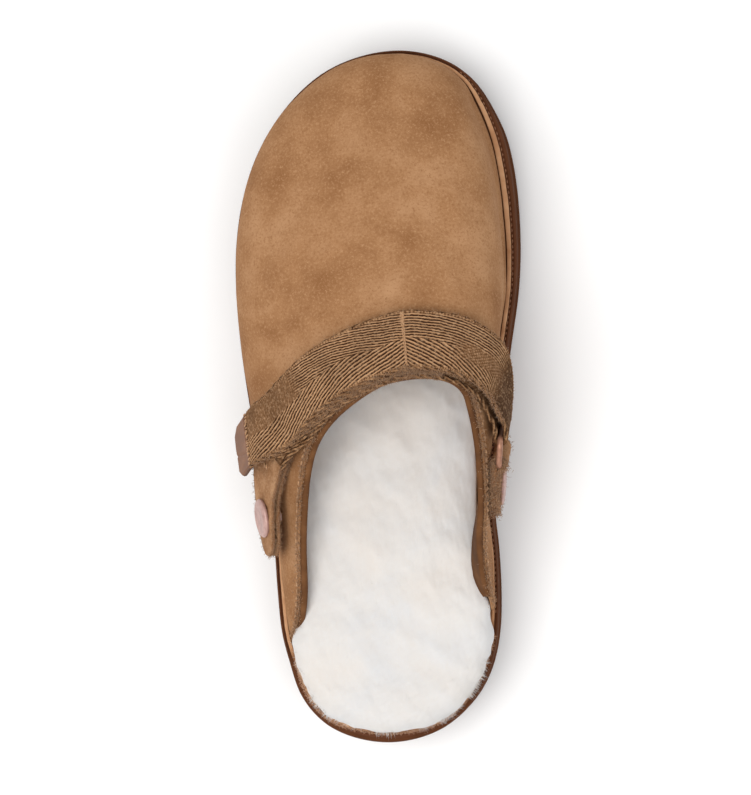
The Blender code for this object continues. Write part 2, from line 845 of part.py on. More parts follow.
def make_label(strap, material):
    """Bare pull tab on the tape's end, with its outer corners cut off."""
    frame = strap.top[0]
    base = strap.base(-TAB_LAP, strap.top_lengths[-1], END_REST)
    middle = base + 1.5 * TAPE_THICK + FOLD_RISE
    rows = (
        (GAP, 0.0),
        (LABEL_LENGTH * 0.5, 0.0),
        (LABEL_LENGTH - LABEL_CHAMFER, 0.0),
        (LABEL_LENGTH, LABEL_CHAMFER),
    )
    stations = []
    for behind, cut in rows:
        place = frame.moved(-behind)
        low, high = middle - LABEL_THICK / 2.0, middle + LABEL_THICK / 2.0
        stations.append((place, TAPE_WIDTH / 2.0 - cut, low, high))
    low_grid, high_grid = band(stations)
    return sheet_solid("label", high_grid, low_grid, material)


def tip_rows(length):
    """Distances from a tab's round tip with half its width at each."""
    radius = TAB_WIDTH / 2.0
    rows = []
    for k in range(1, TIP_STEPS + 1):
        angle = math.pi / 2.0 * k / TIP_STEPS
        rows.append((radius * (1.0 - math.cos(angle)), radius * math.sin(angle)))
    rest = length - radius
    count = max(int(round(rest / TAPE_SPACING)), 1)
    rows += [(radius + rest * k / count, radius) for k in range(1, count + 1)]
    return rows


def make_tab_lateral(strap, material):
    """Doubled suede tab from under the tape's end to behind the rivet."""
    stations = []
    for behind, half in tip_rows(TAPE_START + TAB_LAP):
        frame = frame_along(strap.lower, strap.lower_lengths, behind)
        stations.append((frame, half, 0.0, 2.0 * TAB_THICK))
    low_grid, high_grid = band(stations)
    return sheet_solid("tab_lateral", high_grid, low_grid, material)


def make_tab_medial(strap, material):
    """Suede tab folded round the ring's rear bar, its two leaves meeting at the rivet."""
    length = RIVET_REACH + MEDIAL_TAIL
    under = []
    over = []
    for left, half in tip_rows(length):
        ahead = length - left
        frame = strap.rear.moved(ahead)
        spread = (FOLD_RISE - GAP) * (1.0 - ease(ahead / TAB_CLOSE))
        low = TAB_THICK + GAP + spread
        under.append((frame, half, 0.0, TAB_THICK))
        over.append((frame, half, low, low + TAB_THICK))
    low, high = band(under)
    over_low, over_high = band(over[::-1])
    bar = strap.rear.moved(0.0, BAR_OFF)
    inside, outside = wrap(bar, -1.0, TAB_WIDTH / 2.0, FOLD_INNER, FOLD_INNER + TAB_THICK)
    return sheet_solid("tab_medial", low + outside + over_high, high + inside + over_low, material)


def make_ring(strap, material):
    """Rod bent to a rectangle with round corners, lying over the wall."""
    frame = strap.ring.moved(0.0, BAR_OFF)
    half_side = TAPE_WIDTH / 2.0 + RING_PLAY + ROD_RADIUS
    half_run = RING_GAP / 2.0 + ROD_RADIUS
    corners = ((1, 1), (-1, 1), (-1, -1), (1, -1))
    sections = []
    for number, (side, run) in enumerate(corners):
        for k in range(CORNER_STEPS + 1):
            angle = math.pi / 2.0 * (number + k / CORNER_STEPS)
            cos, sin = math.cos(angle), math.sin(angle)
            across = side * (half_side - RING_CORNER) + RING_CORNER * cos
            ahead = run * (half_run - RING_CORNER) + RING_CORNER * sin
            sections.append((across, ahead, cos, sin))
    rings = []
    for across, ahead, cos, sin in sections:
        ring = []
        for k in range(ROD_FACETS):
            turn = 2.0 * math.pi * k / ROD_FACETS
            wide = ROD_RADIUS * math.cos(turn)
            ring.append(frame.at(across + cos * wide, ROD_RADIUS * math.sin(turn), ahead + sin * wide))
        rings.append(ring)
    return loop_solid("ring", rings, material)


def turned(name, frame, profile, material):
    """Solid turned about the frame's outward axis from rows of radius and height, top to bottom."""
    points = [frame.at(0.0, profile[0][1])]
    for radius, height in profile[1:-1]:
        for k in range(TURN_FACETS):
            angle = 2.0 * math.pi * k / TURN_FACETS
            points.append(frame.at(radius * math.cos(angle), height, radius * math.sin(angle)))
    points.append(frame.at(0.0, profile[-1][1]))
    faces = []
    rows = len(profile) - 2
    for k in range(TURN_FACETS):
        after = (k + 1) % TURN_FACETS
        faces.append((0, 1 + k, 1 + after))
        for r in range(rows - 1):
            a = 1 + r * TURN_FACETS
            faces.append((a + k, a + TURN_FACETS + k, a + TURN_FACETS + after, a + after))
        last = 1 + (rows - 1) * TURN_FACETS
        faces.append((last + k, len(points) - 1, last + after))
    return make_object(name, points, faces, material)


def make_snap(name, tree, frame, seat, material):
    """Rivet: domed cap on the tab, a post through tab and wall, a washer inside."""
    place, _ = nearest(tree, frame.place, frame.out)
    behind = -((frame.place - place).length + WALL + WASHER_CLEARANCE)
    base = seat + GAP
    cap = [(radius * CAP_RADIUS, base + height * CAP_HEIGHT) for radius, height in CAP_SIDE]
    profile = cap + [
        (POST_RADIUS, base),
        (POST_RADIUS, behind),
        (WASHER_RADIUS, behind),
        (WASHER_RADIUS, behind - WASHER_THICK),
        (0.0, behind - WASHER_THICK),
    ]
    snap = turned(name, frame, profile, material)
    reach = base + CAP_HEIGHT
    hole = (
        (0.0, reach),
        (POST_RADIUS + GAP, reach),
        (POST_RADIUS + GAP, behind - 2.0 * WASHER_THICK),
        (0.0, behind - 2.0 * WASHER_THICK),
    )
    return snap, turned(name + "_hole", frame, hole, None)


def clear_scene():
    for piece in list(bpy.data.objects):
        bpy.data.objects.remove(piece, do_unlink=True)


def main():
    clear_scene()
    rubber = make_material("sole_rubber", (0.13, 0.055, 0.028), 0.62)
    flange = make_material("welt_tan", (0.60, 0.36, 0.21), 0.60)
    suede = make_material("suede", (0.45, 0.23, 0.11), 0.90)
    board = make_material("insole_skin", (0.50, 0.32, 0.19), 0.90)
    wool = make_material("fleece_wool", (0.80, 0.78, 0.74), 0.95)
    webbing = make_material("webbing", (0.28, 0.16, 0.08), 0.85)
    hooks = make_material("closure_hooks", (0.20, 0.11, 0.06), 0.95)
    patch = make_material("label_rubber", (0.26, 0.14, 0.10), 0.60)
    metal = make_material("rose_metal", (0.60, 0.36, 0.26), 0.35, metallic=0.9)
    lacquer = make_material("cap_lacquer", (0.50, 0.30, 0.25), 0.45)
    outsole = make_outsole(rubber)
    cut_with(outsole, make_tread_cutter())
    make_welt(flange)
    upper = make_upper(suede)
    make_insole(board)
    make_fleece(wool)
    tree = surface_tree()
    strap = Strap(tree)
    make_strap(strap, webbing)
    make_closure(strap, hooks)
    make_label(strap, patch)
    make_ring(strap, metal)
    lateral_tab = make_tab_lateral(strap, suede)
    medial_tab = make_tab_medial(strap, suede)
    lateral_spot = frame_along(strap.lower, strap.lower_lengths, LATERAL_TAIL)
    medial_spot = strap.rear.moved(RIVET_REACH)
    seats = (
        ("snap_lateral", lateral_spot, 2.0 * TAB_THICK, lateral_tab),
        ("snap_medial", medial_spot, 2.0 * TAB_THICK + GAP, medial_tab),
    )
    for name, frame, seat, tab in seats:
        _, hole = make_snap(name, tree, frame, seat, lacquer)
        cut_with(tab, hole)
        cut_with(upper, hole)


main()
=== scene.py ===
"""Looks of the left clog slipper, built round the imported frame.

Frame: +Y runs to the toe, +X to the medial side, +Z up; the origin lies under the heel on the floor.
"""

import json
import math

import bpy
import numpy as np
from mathutils import Matrix, Vector
from mathutils.bvhtree import BVHTree

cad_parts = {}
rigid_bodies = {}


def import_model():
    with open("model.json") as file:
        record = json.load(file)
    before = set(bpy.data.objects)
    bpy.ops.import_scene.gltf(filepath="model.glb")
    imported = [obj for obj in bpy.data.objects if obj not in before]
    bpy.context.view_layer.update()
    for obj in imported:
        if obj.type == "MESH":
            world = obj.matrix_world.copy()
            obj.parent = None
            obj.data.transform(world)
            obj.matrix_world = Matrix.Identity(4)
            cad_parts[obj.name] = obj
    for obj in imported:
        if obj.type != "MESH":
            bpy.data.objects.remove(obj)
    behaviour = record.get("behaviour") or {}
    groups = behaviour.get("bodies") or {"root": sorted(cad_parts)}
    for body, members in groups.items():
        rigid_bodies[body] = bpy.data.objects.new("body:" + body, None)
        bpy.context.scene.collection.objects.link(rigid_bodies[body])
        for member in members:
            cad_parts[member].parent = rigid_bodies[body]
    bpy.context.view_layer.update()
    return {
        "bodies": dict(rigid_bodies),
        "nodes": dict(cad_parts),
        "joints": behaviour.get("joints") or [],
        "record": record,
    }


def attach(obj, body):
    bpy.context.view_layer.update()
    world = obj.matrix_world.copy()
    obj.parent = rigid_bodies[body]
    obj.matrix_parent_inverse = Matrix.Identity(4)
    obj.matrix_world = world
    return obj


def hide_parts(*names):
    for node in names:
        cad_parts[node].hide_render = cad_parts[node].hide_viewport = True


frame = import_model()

rng = np.random.default_rng(7)

# Driving sizes of the whole shoe, in metres
LENGTH = 0.269
BALL_WIDTH = 0.112
HEEL_SEAT = 0.0325
SOLE_STACK = 0.030
TOE_SPRING = 0.011
INSTEP_RISE = 0.060
LEDGE = 0.005
WALL = 0.0026
GAP = 0.0003
FOOT_GAP = 0.0005

# Welt, tread, insole board and depth of the fleece
WELT_HEIGHT = 0.0016
TREAD_DEPTH = 0.0026
TREAD_GROOVE = 0.0032
TREAD_BOW = 0.007
TREAD_REACH_SHARE = 0.62
TREAD_PLACES = (0.075, 0.125, 0.175, 0.225, 0.570, 0.615, 0.660, 0.705, 0.750, 0.795)
BOARD_THICK = 0.0024
BOARD_CLEARANCE = 0.0008
FLEECE_DEPTH = 0.012

# Where the footbed widens over the ledge at the open heel, in places round the sole past the upper's ends
HEEL_LAG = 0.004
HEEL_RUN = 0.030

# How much further in the footbed stays at the very back of the heel, and over which places round the sole
BACK_INSET = 0.0024
BACK_RUN = 0.130

# Strap tape, closure patch, label, ring, tabs and rivets
TAPE_WIDTH = 0.0215
TAPE_THICK = 0.0013
LABEL_LENGTH = 0.0125
LABEL_THICK = 0.0020
LABEL_CHAMFER = 0.0035
ROD_RADIUS = 0.0011
RING_GAP = 0.0085
RING_CORNER = 0.0030
TAB_WIDTH = 0.0200
TAB_THICK = 0.0017
CAP_RADIUS = 0.0074
CAP_HEIGHT = 0.0020
POST_RADIUS = 0.0020
WASHER_RADIUS = 0.0042
WASHER_THICK = 0.0010

# Where the strap's pieces begin and end along their lines
TAPE_START = 0.0440
TAB_LAP = 0.0080
TAB_RAMP = 0.0160
LATERAL_TAIL = 0.0150
MEDIAL_TAIL = 0.0108
TAB_CLOSE = 0.0046
TAB_STANDOFF = 0.0030
TAB_TILT = 5.0
STANDOFF_RUN = 0.0270
RIVET_REACH = 0.0120
RING_LEAD = 0.0140
RING_PLAY = 0.0010
PATCH_START = 0.0280
END_TWIST = 16.0
TWIST_RUN = 0.0250
END_REST = 0.80
PATCH_EDGE = 0.0012
PATCH_END_STATIONS = 3
WASHER_CLEARANCE = 0.0010

# Folds round the ring's bars: inside radius, room between the leaves, and the bar's middle off the wall
FOLD_INNER = ROD_RADIUS + GAP
FOLD_RISE = 2.0 * FOLD_INNER
BAR_OFF = TAB_THICK + FOLD_INNER

# Distance between the frames along the tape
TAPE_SPACING = 0.0035

# Sole outline. along: share of LENGTH from the heel; centre and half: shares of BALL_WIDTH;
# lateral and medial: width of the ledge round the upper's foot, shares of LEDGE
SOLE_OUTLINE = (
    (0.000, 0.000, 0.000, 1.00, 1.00),
    (0.030, 0.000, 0.229, 1.00, 1.00),
    (0.073, 0.006, 0.319, 1.00, 1.00),
    (0.116, 0.011, 0.359, 0.95, 0.95),
    (0.160, 0.007, 0.382, 0.90, 0.85),
    (0.225, 0.000, 0.392, 0.90, 0.75),
    (0.281, -0.009, 0.393, 0.90, 0.66),
    (0.334, -0.023, 0.394, 0.90, 0.66),
    (0.385, -0.035, 0.409, 0.90, 0.75),
    (0.486, -0.046, 0.444, 0.90, 0.88),
    (0.573, -0.048, 0.474, 0.90, 0.95),
    (0.660, -0.043, 0.497, 0.90, 1.02),
    (0.703, -0.041, 0.500, 0.90, 1.10),
    (0.768, -0.035, 0.490, 0.90, 1.25),
    (0.833, -0.023, 0.460, 0.88, 1.32),
    (0.877, -0.010, 0.422, 0.85, 1.28),
    (0.920, 0.003, 0.361, 0.82, 1.10),
    (0.964, 0.022, 0.265, 0.80, 0.90),
    (1.000, 0.040, 0.000, 0.80, 0.80),
)

# Sole heights. along: share of LENGTH; lift: underside above the floor, share of TOE_SPRING;
# top: upper edge of the sole above the floor, share of SOLE_STACK
SOLE_PROFILE = (
    (0.000, 0.260, 1.030),
    (0.045, 0.000, 1.015),
    (0.280, 0.000, 0.985),
    (0.345, 0.270, 0.955),
    (0.455, 0.270, 0.920),
    (0.545, 0.000, 0.885),
    (0.730, 0.000, 0.840),
    (0.820, 0.140, 0.865),
    (0.910, 0.480, 0.970),
    (1.000, 1.000, 1.120),
)

# Side of the sole from its upper edge down. inset: share of the ledge; down: share of the side's height
SOLE_SIDE = (
    (0.42, 0.000),
    (0.31, 0.030),
    (0.26, 0.110),
    (0.20, 0.480),
    (0.15, 0.540),
    (0.36, 0.575),
    (0.36, 0.610),
    (0.06, 0.640),
    (0.00, 0.760),
    (0.05, 0.920),
    (0.40, 1.000),
)

# Rivet cap from its middle outwards and down. radius: share of CAP_RADIUS; height: share of the cap's height
CAP_SIDE = (
    (0.00, 0.84),
    (0.45, 0.88),
    (0.72, 1.00),
    (0.90, 0.88),
    (1.00, 0.45),
    (0.97, 0.00),
)

# Ribs of the upper from the lateral end round the toe to the medial end.
# foot: place round the sole, 0 at the heel, 1 at the toe, 2 at the heel again;
# along, across and height: the collar edge, shares of LENGTH, BALL_WIDTH and INSTEP_RISE;
# rise, bulge and reach: how the rib leaves its foot and its collar edge, shares of INSTEP_RISE,
# LEDGE and INSTEP_RISE; drop: slope at the collar edge in degrees
UPPER_RIBS = (
    (0.250, 0.152, -0.322, 0.070, 0.030, 0.00, 0.030, 75),
    (0.278, 0.183, -0.296, 0.235, 0.100, 0.10, 0.080, 74),
    (0.315, 0.225, -0.282, 0.350, 0.140, 0.20, 0.120, 72),
    (0.365, 0.295, -0.280, 0.455, 0.180, 0.30, 0.150, 70),
    (0.405, 0.354, -0.271, 0.540, 0.220, 0.35, 0.180, 66),
    (0.450, 0.400, -0.254, 0.640, 0.270, 0.40, 0.220, 60),
    (0.495, 0.437, -0.223, 0.745, 0.320, 0.40, 0.280, 52),
    (0.545, 0.470, -0.165, 0.865, 0.380, 0.40, 0.360, 45),
    (0.605, 0.497, -0.089, 0.940, 0.420, 0.40, 0.460, 38),
    (0.700, 0.520, 0.003, 0.985, 0.440, 0.40, 0.660, 31),
    (0.830, 0.528, 0.080, 1.000, 0.440, 0.35, 0.850, 26),
    (0.985, 0.530, 0.137, 1.000, 0.430, 0.30, 0.950, 24),
    (1.140, 0.529, 0.190, 0.990, 0.440, 0.35, 0.800, 25),
    (1.270, 0.522, 0.245, 0.965, 0.460, 0.40, 0.600, 30),
    (1.380, 0.507, 0.285, 0.915, 0.460, 0.45, 0.420, 38),
    (1.455, 0.483, 0.304, 0.840, 0.420, 0.45, 0.320, 48),
    (1.515, 0.449, 0.320, 0.750, 0.360, 0.45, 0.260, 58),
    (1.565, 0.410, 0.331, 0.660, 0.300, 0.40, 0.200, 66),
    (1.605, 0.360, 0.338, 0.575, 0.250, 0.35, 0.170, 72),
    (1.640, 0.300, 0.333, 0.500, 0.200, 0.30, 0.140, 75),
    (1.675, 0.246, 0.345, 0.380, 0.150, 0.20, 0.120, 76),
    (1.708, 0.203, 0.368, 0.170, 0.070, 0.05, 0.060, 78),
)

# Strap lines on the upper. along and across: shares of LENGTH and BALL_WIDTH;
# height: above the floor, share of INSTEP_RISE.
# The upper layer starts at the label, the lower one at the tip of the lateral tab
TOP_LATERAL_LINE = (
    (0.434, -0.432, 0.82),
    (0.460, -0.371, 1.04),
    (0.490, -0.308, 1.20),
)
LOWER_LATERAL_LINE = (
    (0.276, -0.385, 0.71),
    (0.334, -0.400, 0.76),
    (0.380, -0.408, 0.80),
    (0.420, -0.400, 0.88),
    (0.452, -0.365, 1.01),
    (0.484, -0.300, 1.17),
)
INSTEP_LINE = (
    (0.528, -0.201, 1.33),
    (0.554, -0.104, 1.42),
    (0.572, -0.003, 1.47),
    (0.582, 0.083, 1.48),
    (0.581, 0.148, 1.48),
    (0.572, 0.257, 1.42),
    (0.554, 0.330, 1.32),
    (0.535, 0.392, 1.22),
    (0.514, 0.414, 1.12),
    (0.486, 0.408, 1.03),
    (0.458, 0.397, 0.96),
)
RING_SPOT = (0.438, 0.392, 0.93)
MEDIAL_RIVET_SPOT = (0.386, 0.385, 0.84)


def curve(places, values, level=False, end_slopes=None):
    """Cubic through a table's rows; level keeps flat stretches flat."""
    places = np.asarray(places, float)
    values = np.asarray(values, float)
    steps = np.diff(places)
    slopes = np.diff(values) / steps
    tangents = np.empty_like(values)
    tangents[0] = slopes[0]
    tangents[-1] = slopes[-1]
    for i in range(1, len(places) - 1):
        before, after = slopes[i - 1], slopes[i]
        if not level:
            tangents[i] = (before * steps[i] + after * steps[i - 1]) / (steps[i] + steps[i - 1])
        elif before * after <= 0.0:
            tangents[i] = 0.0
        else:
            tangents[i] = 2.0 * before * after / (before + after)
    if end_slopes is not None:
        tangents[0], tangents[-1] = end_slopes

    def at(place):
        place = min(max(place, places[0]), places[-1])
        i = min(int(np.searchsorted(places, place, side="right")) - 1, len(places) - 2)
        share = (place - places[i]) / steps[i]
        square, cube = share ** 2, share ** 3
        return float(
            values[i] * (2 * cube - 3 * square + 1)
            + tangents[i] * steps[i] * (cube - 2 * square + share)
            + values[i + 1] * (3 * square - 2 * cube)
            + tangents[i + 1] * steps[i] * (cube - square)
        )

    return at


def ease(share):
    """Smooth step from 0 to 1."""
    share = min(max(share, 0.0), 1.0)
    return share * share * (3.0 - 2.0 * share)


def ease_array(share):
    share = np.clip(share, 0.0, 1.0)
    return share * share * (3.0 - 2.0 * share)


def column(table, index):
    return [row[index] for row in table]


def turn_of(along):
    """Place round the sole of a share of the length; even steps of it round the toe and heel evenly."""
    return math.acos(1.0 - 2.0 * along) / math.pi


TURNS = [turn_of(row[0]) for row in SOLE_OUTLINE]
HALVES = column(SOLE_OUTLINE, 2)
HALF_SLOPES = (HALVES[1] / TURNS[1], -HALVES[-2] / (1.0 - TURNS[-2]))
outline_centre = curve(TURNS, column(SOLE_OUTLINE, 1), end_slopes=(0.0, 0.0))
outline_half = curve(TURNS, HALVES, end_slopes=HALF_SLOPES)
lateral_ledge = curve(TURNS, column(SOLE_OUTLINE, 3), level=True)
medial_ledge = curve(TURNS, column(SOLE_OUTLINE, 4), level=True)
sole_lift = curve(column(SOLE_PROFILE, 0), column(SOLE_PROFILE, 1), level=True)
sole_edge = curve(column(SOLE_PROFILE, 0), column(SOLE_PROFILE, 2), level=True)


def place_of(along):
    return along * LENGTH - HEEL_SEAT


def along_of(y):
    return (y + HEEL_SEAT) / LENGTH


def sole_top(y):
    return sole_edge(along_of(y)) * SOLE_STACK


def sole_bottom(y):
    return sole_lift(along_of(y)) * TOE_SPRING


def outline_point(around):
    around = around % 2.0
    turn, side = (around, -1.0) if around <= 1.0 else (2.0 - around, 1.0)
    x = (outline_centre(turn) + side * outline_half(turn)) * BALL_WIDTH
    return Vector((x, place_of(0.5 - 0.5 * math.cos(math.pi * turn)), 0.0))


def outline_normal(around):
    reach = 0.004
    run = outline_point(around + reach) - outline_point(around - reach)
    return Vector((-run.y, run.x, 0.0)).normalized()


def ledge(around):
    around = around % 2.0
    return LEDGE * (lateral_ledge(around) if around <= 1.0 else medial_ledge(2.0 - around))


def rail(around, inset):
    """Point of the sole's outline moved inwards."""
    return outline_point(around) - outline_normal(around) * inset


rib_columns = [curve(range(len(UPPER_RIBS)), column(UPPER_RIBS, i)) for i in range(8)]


def upper_rib(index):
    """The four points that steer one rib of the upper."""
    foot, along, across, height, rise, bulge, reach, drop = [at(index) for at in rib_columns]
    base = rail(foot, ledge(foot))
    base.z = sole_top(base.y) + FOOT_GAP
    edge = Vector((across * BALL_WIDTH, place_of(along), 0.0))
    edge.z = sole_top(edge.y) + height * INSTEP_RISE
    outward = outline_normal(foot)
    lift = base + outward * bulge * LEDGE + Vector((0.0, 0.0, rise * INSTEP_RISE))
    away = base - edge
    away.z = 0.0
    away = (away + outward * 2.0 * LEDGE).normalized()
    slope = math.radians(drop)
    lean = edge + (away * math.cos(slope) - Vector((0.0, 0.0, math.sin(slope)))) * reach * INSTEP_RISE
    return base, lift, lean, edge


def upper_point(index, share):
    a, b, c, d = upper_rib(index)
    rest = 1.0 - share
    return a * rest ** 3 + b * 3 * share * rest ** 2 + c * 3 * share ** 2 * rest + d * share ** 3


def upper_grid(steps, facets):
    count = (len(UPPER_RIBS) - 1) * steps
    return [[upper_point(i / steps, j / facets) for j in range(facets + 1)] for i in range(count + 1)]


def surface_tree():
    grid = upper_grid(6, 24)
    points = [p for line in grid for p in line]
    columns = len(grid[0])
    faces = []
    for i in range(len(grid) - 1):
        for j in range(columns - 1):
            a = i * columns + j
            faces.append((a, a + 1, a + columns + 1, a + columns))
    return BVHTree.FromPolygons(points, faces)


def line_points(table):
    return [Vector((row[1] * BALL_WIDTH, place_of(row[0]), row[2] * INSTEP_RISE)) for row in table]


def smooth_line(points, spacing):
    """Evenly spaced points on a smooth curve through a few."""
    lengths = [0.0]
    for a, b in zip(points, points[1:]):
        lengths.append(lengths[-1] + (b - a).length)
    axes = [curve(lengths, [p[axis] for p in points]) for axis in range(3)]
    count = int(round(lengths[-1] / spacing))
    return [Vector([at(lengths[-1] * k / count) for at in axes]) for k in range(count + 1)]


class Frame:
    """Place on the upper with its outward, forward and sideways directions."""

    def __init__(self, place, out, run):
        self.place = place
        self.out = out.normalized()
        self.run = (run - self.out * run.dot(self.out)).normalized()
        self.side = self.out.cross(self.run)

    def at(self, across, off, ahead=0.0):
        return self.place + self.side * across + self.out * off + self.run * ahead

    def moved(self, ahead, off=0.0):
        return Frame(self.at(0.0, off, ahead), self.out, self.run)

    def turned(self, degrees):
        """The same place turned about its run, its outward direction going to its side."""
        angle = math.radians(degrees)
        return Frame(self.place, self.out * math.cos(angle) + self.side * math.sin(angle), self.run)

    def toward(self, other, share):
        place = self.place.lerp(other.place, share)
        return Frame(place, self.out.lerp(other.out, share), self.run.lerp(other.run, share))


def nearest(tree, point, out=None):
    """Nearest place on the upper and its outward direction."""
    place, normal, _, _ = tree.find_nearest(point)
    guide = out if out is not None else point - place
    return place, (-normal if normal.dot(guide) < 0.0 else normal)


def lift_over(tree, frame, halves):
    """How far a flat piece at this frame has to stand off to clear the wall."""
    need = 0.0
    for across in halves:
        point = frame.at(across, 0.0)
        place, normal = nearest(tree, point, frame.out)
        need = max(need, (place - point).dot(normal) / max(normal.dot(frame.out), 0.3))
    return need + GAP


def frames_on(tree, points, width):
    """Frames along a line laid on the upper, each clear of the wall across the tape's width."""
    spots = [nearest(tree, point) for point in points]
    last = len(spots) - 1
    frames = []
    for i, (place, _) in enumerate(spots):
        near = spots[max(i - 2, 0):i + 3]
        mean = sum((normal for _, normal in near), Vector())
        run = spots[min(i + 1, last)][0] - spots[max(i - 1, 0)][0]
        frames.append(Frame(place, mean, run))
    across = [width * share for share in (-0.5, -0.25, 0.0, 0.25, 0.5)]
    lifts = [lift_over(tree, frame, across) for frame in frames]
    peaks = [max(lifts[max(i - 1, 0):i + 2]) for i in range(last + 1)]
    for i, frame in enumerate(frames):
        near = peaks[max(i - 1, 0):i + 2]
        frame.place = frame.place + frame.out * max(lifts[i], sum(near) / len(near))
    return frames


def run_lengths(frames):
    lengths = [0.0]
    for a, b in zip(frames, frames[1:]):
        lengths.append(lengths[-1] + (b.place - a.place).length)
    return lengths


def frame_along(frames, lengths, distance):
    distance = min(max(distance, 0.0), lengths[-1])
    i = min(max(int(np.searchsorted(lengths, distance, side="right")) - 1, 0), len(frames) - 2)
    share = (distance - lengths[i]) / (lengths[i + 1] - lengths[i])
    return frames[i].toward(frames[i + 1], share)


class Strap:
    """Where the tape, tabs, ring and rivets lie on the upper."""

    def __init__(self, tree):
        self.tree = tree
        top = line_points(TOP_LATERAL_LINE + INSTEP_LINE)
        lower = line_points(LOWER_LATERAL_LINE + INSTEP_LINE)
        self.ring = self.ring_frame()
        self.front = self.ring.moved(-(RING_GAP / 2.0 + ROD_RADIUS))
        self.rear = self.ring.moved(RING_GAP / 2.0 + ROD_RADIUS)
        top = self.joined(frames_on(tree, smooth_line(top, TAPE_SPACING), TAPE_WIDTH))
        lower = self.joined(frames_on(tree, smooth_line(lower, TAPE_SPACING), TAPE_WIDTH))
        self.top = self.twisted(top)
        self.lower = self.stood_off(lower)
        self.top_lengths = run_lengths(self.top)
        self.lower_lengths = run_lengths(self.lower)

    def ring_frame(self):
        """Flat frame under the ring and the medial tab, clear of the wall all along."""
        spot, rivet = line_points((RING_SPOT, MEDIAL_RIVET_SPOT))
        start, out = nearest(self.tree, spot)
        end, out_end = nearest(self.tree, rivet)
        frame = Frame(start, out + out_end, end - start)
        half = TAPE_WIDTH / 2.0 + RING_PLAY + 2.0 * ROD_RADIUS
        reach = RING_GAP / 2.0 + 2.0 * ROD_RADIUS
        tail = reach + RIVET_REACH + MEDIAL_TAIL
        spots = [(ahead, half) for ahead in (-reach, 0.0, reach)]
        spots += [(tail * share, TAB_WIDTH / 2.0) for share in (0.4, 0.7, 1.0)]
        lifts = [lift_over(self.tree, frame.moved(ahead), (-wide, 0.0, wide)) for ahead, wide in spots]
        return frame.moved(0.0, max(lifts))

    def joined(self, frames):
        """The line's last stretch turned level with the ring."""
        lengths = run_lengths(frames)
        total = lengths[-1]
        result = []
        for frame, length in zip(frames, lengths):
            left = total - length
            share = ease(1.0 - left / RING_LEAD)
            result.append(frame.toward(self.front.moved(-left), share))
        return result

    def stood_off(self, frames):
        """The lateral tab's free end bent away from the wall and turned steeper."""
        result = []
        for frame, length in zip(frames, run_lengths(frames)):
            share = 1.0 - ease((length - LATERAL_TAIL) / STANDOFF_RUN)
            result.append(frame.turned(TAB_TILT * share).moved(0.0, TAB_STANDOFF * share))
        return result

    def twisted(self, frames):
        """The upper layer's free end turned about its run, its toe side dipping beyond the lower layer."""
        result = []
        for frame, length in zip(frames, run_lengths(frames)):
            result.append(frame.turned(END_TWIST * (1.0 - ease(length / TWIST_RUN))))
        return result

    def base(self, left_behind, ahead, rest=1.0):
        """Height of the tape's underside: over the tab at one end, level with the ring's at the other."""
        over_tab = rest * (2.0 * TAB_THICK + 2.0 * GAP) * (1.0 - ease(left_behind / TAB_RAMP))
        at_ring = (TAB_THICK - TAPE_THICK) * ease(1.0 - ahead / RING_LEAD)
        return over_tab + at_ring

    def layer(self, frames, lengths, start, low, high, past, rest=1.0):
        """Stations of one layer of the tape; past is where its ramp off the tab begins."""
        stations = []
        for frame, length in zip(frames, lengths):
            if length < start - 1e-6:
                continue
            base = self.base(length - past, lengths[-1] - length, rest)
            stations.append((frame, TAPE_WIDTH / 2.0, base + low, base + high))
        return stations


# Mesh helpers


def set_values(mesh, key, values):
    layer = mesh.attributes.new(key, "FLOAT", "POINT")
    layer.data.foreach_set("value", np.asarray(values, np.float32).ravel())


def show_mesh(name, points, faces, material, attributes=None):
    """Object from arrays; attributes holds a number for each point by name."""
    mesh = bpy.data.meshes.new(name)
    mesh.from_pydata(np.asarray(points, float).reshape(-1, 3).tolist(), [], [list(f) for f in faces])
    mesh.materials.append(material)
    for key, values in (attributes or {}).items():
        set_values(mesh, key, values)
    mesh.shade_smooth()
    mesh.validate()
    piece = bpy.data.objects.new(name, mesh)
    bpy.context.scene.collection.objects.link(piece)
    return piece


def grid_faces(rows, columns, loop_rows=False, loop_columns=False, flip=False):
    """Quads of a grid of points; a loop joins its last line to its first."""
    r = np.arange(rows if loop_rows else rows - 1)
    c = np.arange(columns if loop_columns else columns - 1)
    a = (r[:, None] * columns + c[None, :]).ravel()
    b = (r[:, None] * columns + (c[None, :] + 1) % columns).ravel()
    d = (((r[:, None] + 1) % rows) * columns + c[None, :]).ravel()
    e = (((r[:, None] + 1) % rows) * columns + (c[None, :] + 1) % columns).ravel()
    faces = np.stack([a, b, e, d] if not flip else [d, e, b, a], axis=1)
    return faces.tolist()


def loop_grid(name, grid, material, closed_rows=False, flip=False, attributes=None):
    """Solid from rows of closed loops; open ends are capped with one face each."""
    rows, columns = grid.shape[:2]
    faces = grid_faces(rows, columns, closed_rows, True, flip)
    if not closed_rows:
        first = list(range(columns))
        last = [(rows - 1) * columns + k for k in range(columns)]
        faces.append(first if flip else first[::-1])
        faces.append(last[::-1] if flip else last)
    return show_mesh(name, grid, faces, material, attributes)


def unit(vectors):
    return vectors / np.maximum(np.linalg.norm(vectors, axis=-1, keepdims=True), 1e-12)


def grid_ways(grid, closed_rows=False):
    """Outward directions over a grid whose rows run round and columns run up."""
    if closed_rows:
        along = np.roll(grid, -1, 0) - np.roll(grid, 1, 0)
    else:
        along = np.gradient(grid, axis=0)
    up = np.gradient(grid, axis=1)
    return unit(np.cross(up, along))


def circle(count):
    return 2.0 * math.pi * np.arange(count) / count


def flat_points(spots, across):
    return np.stack([spots, across, 0.0 * spots], axis=-1)


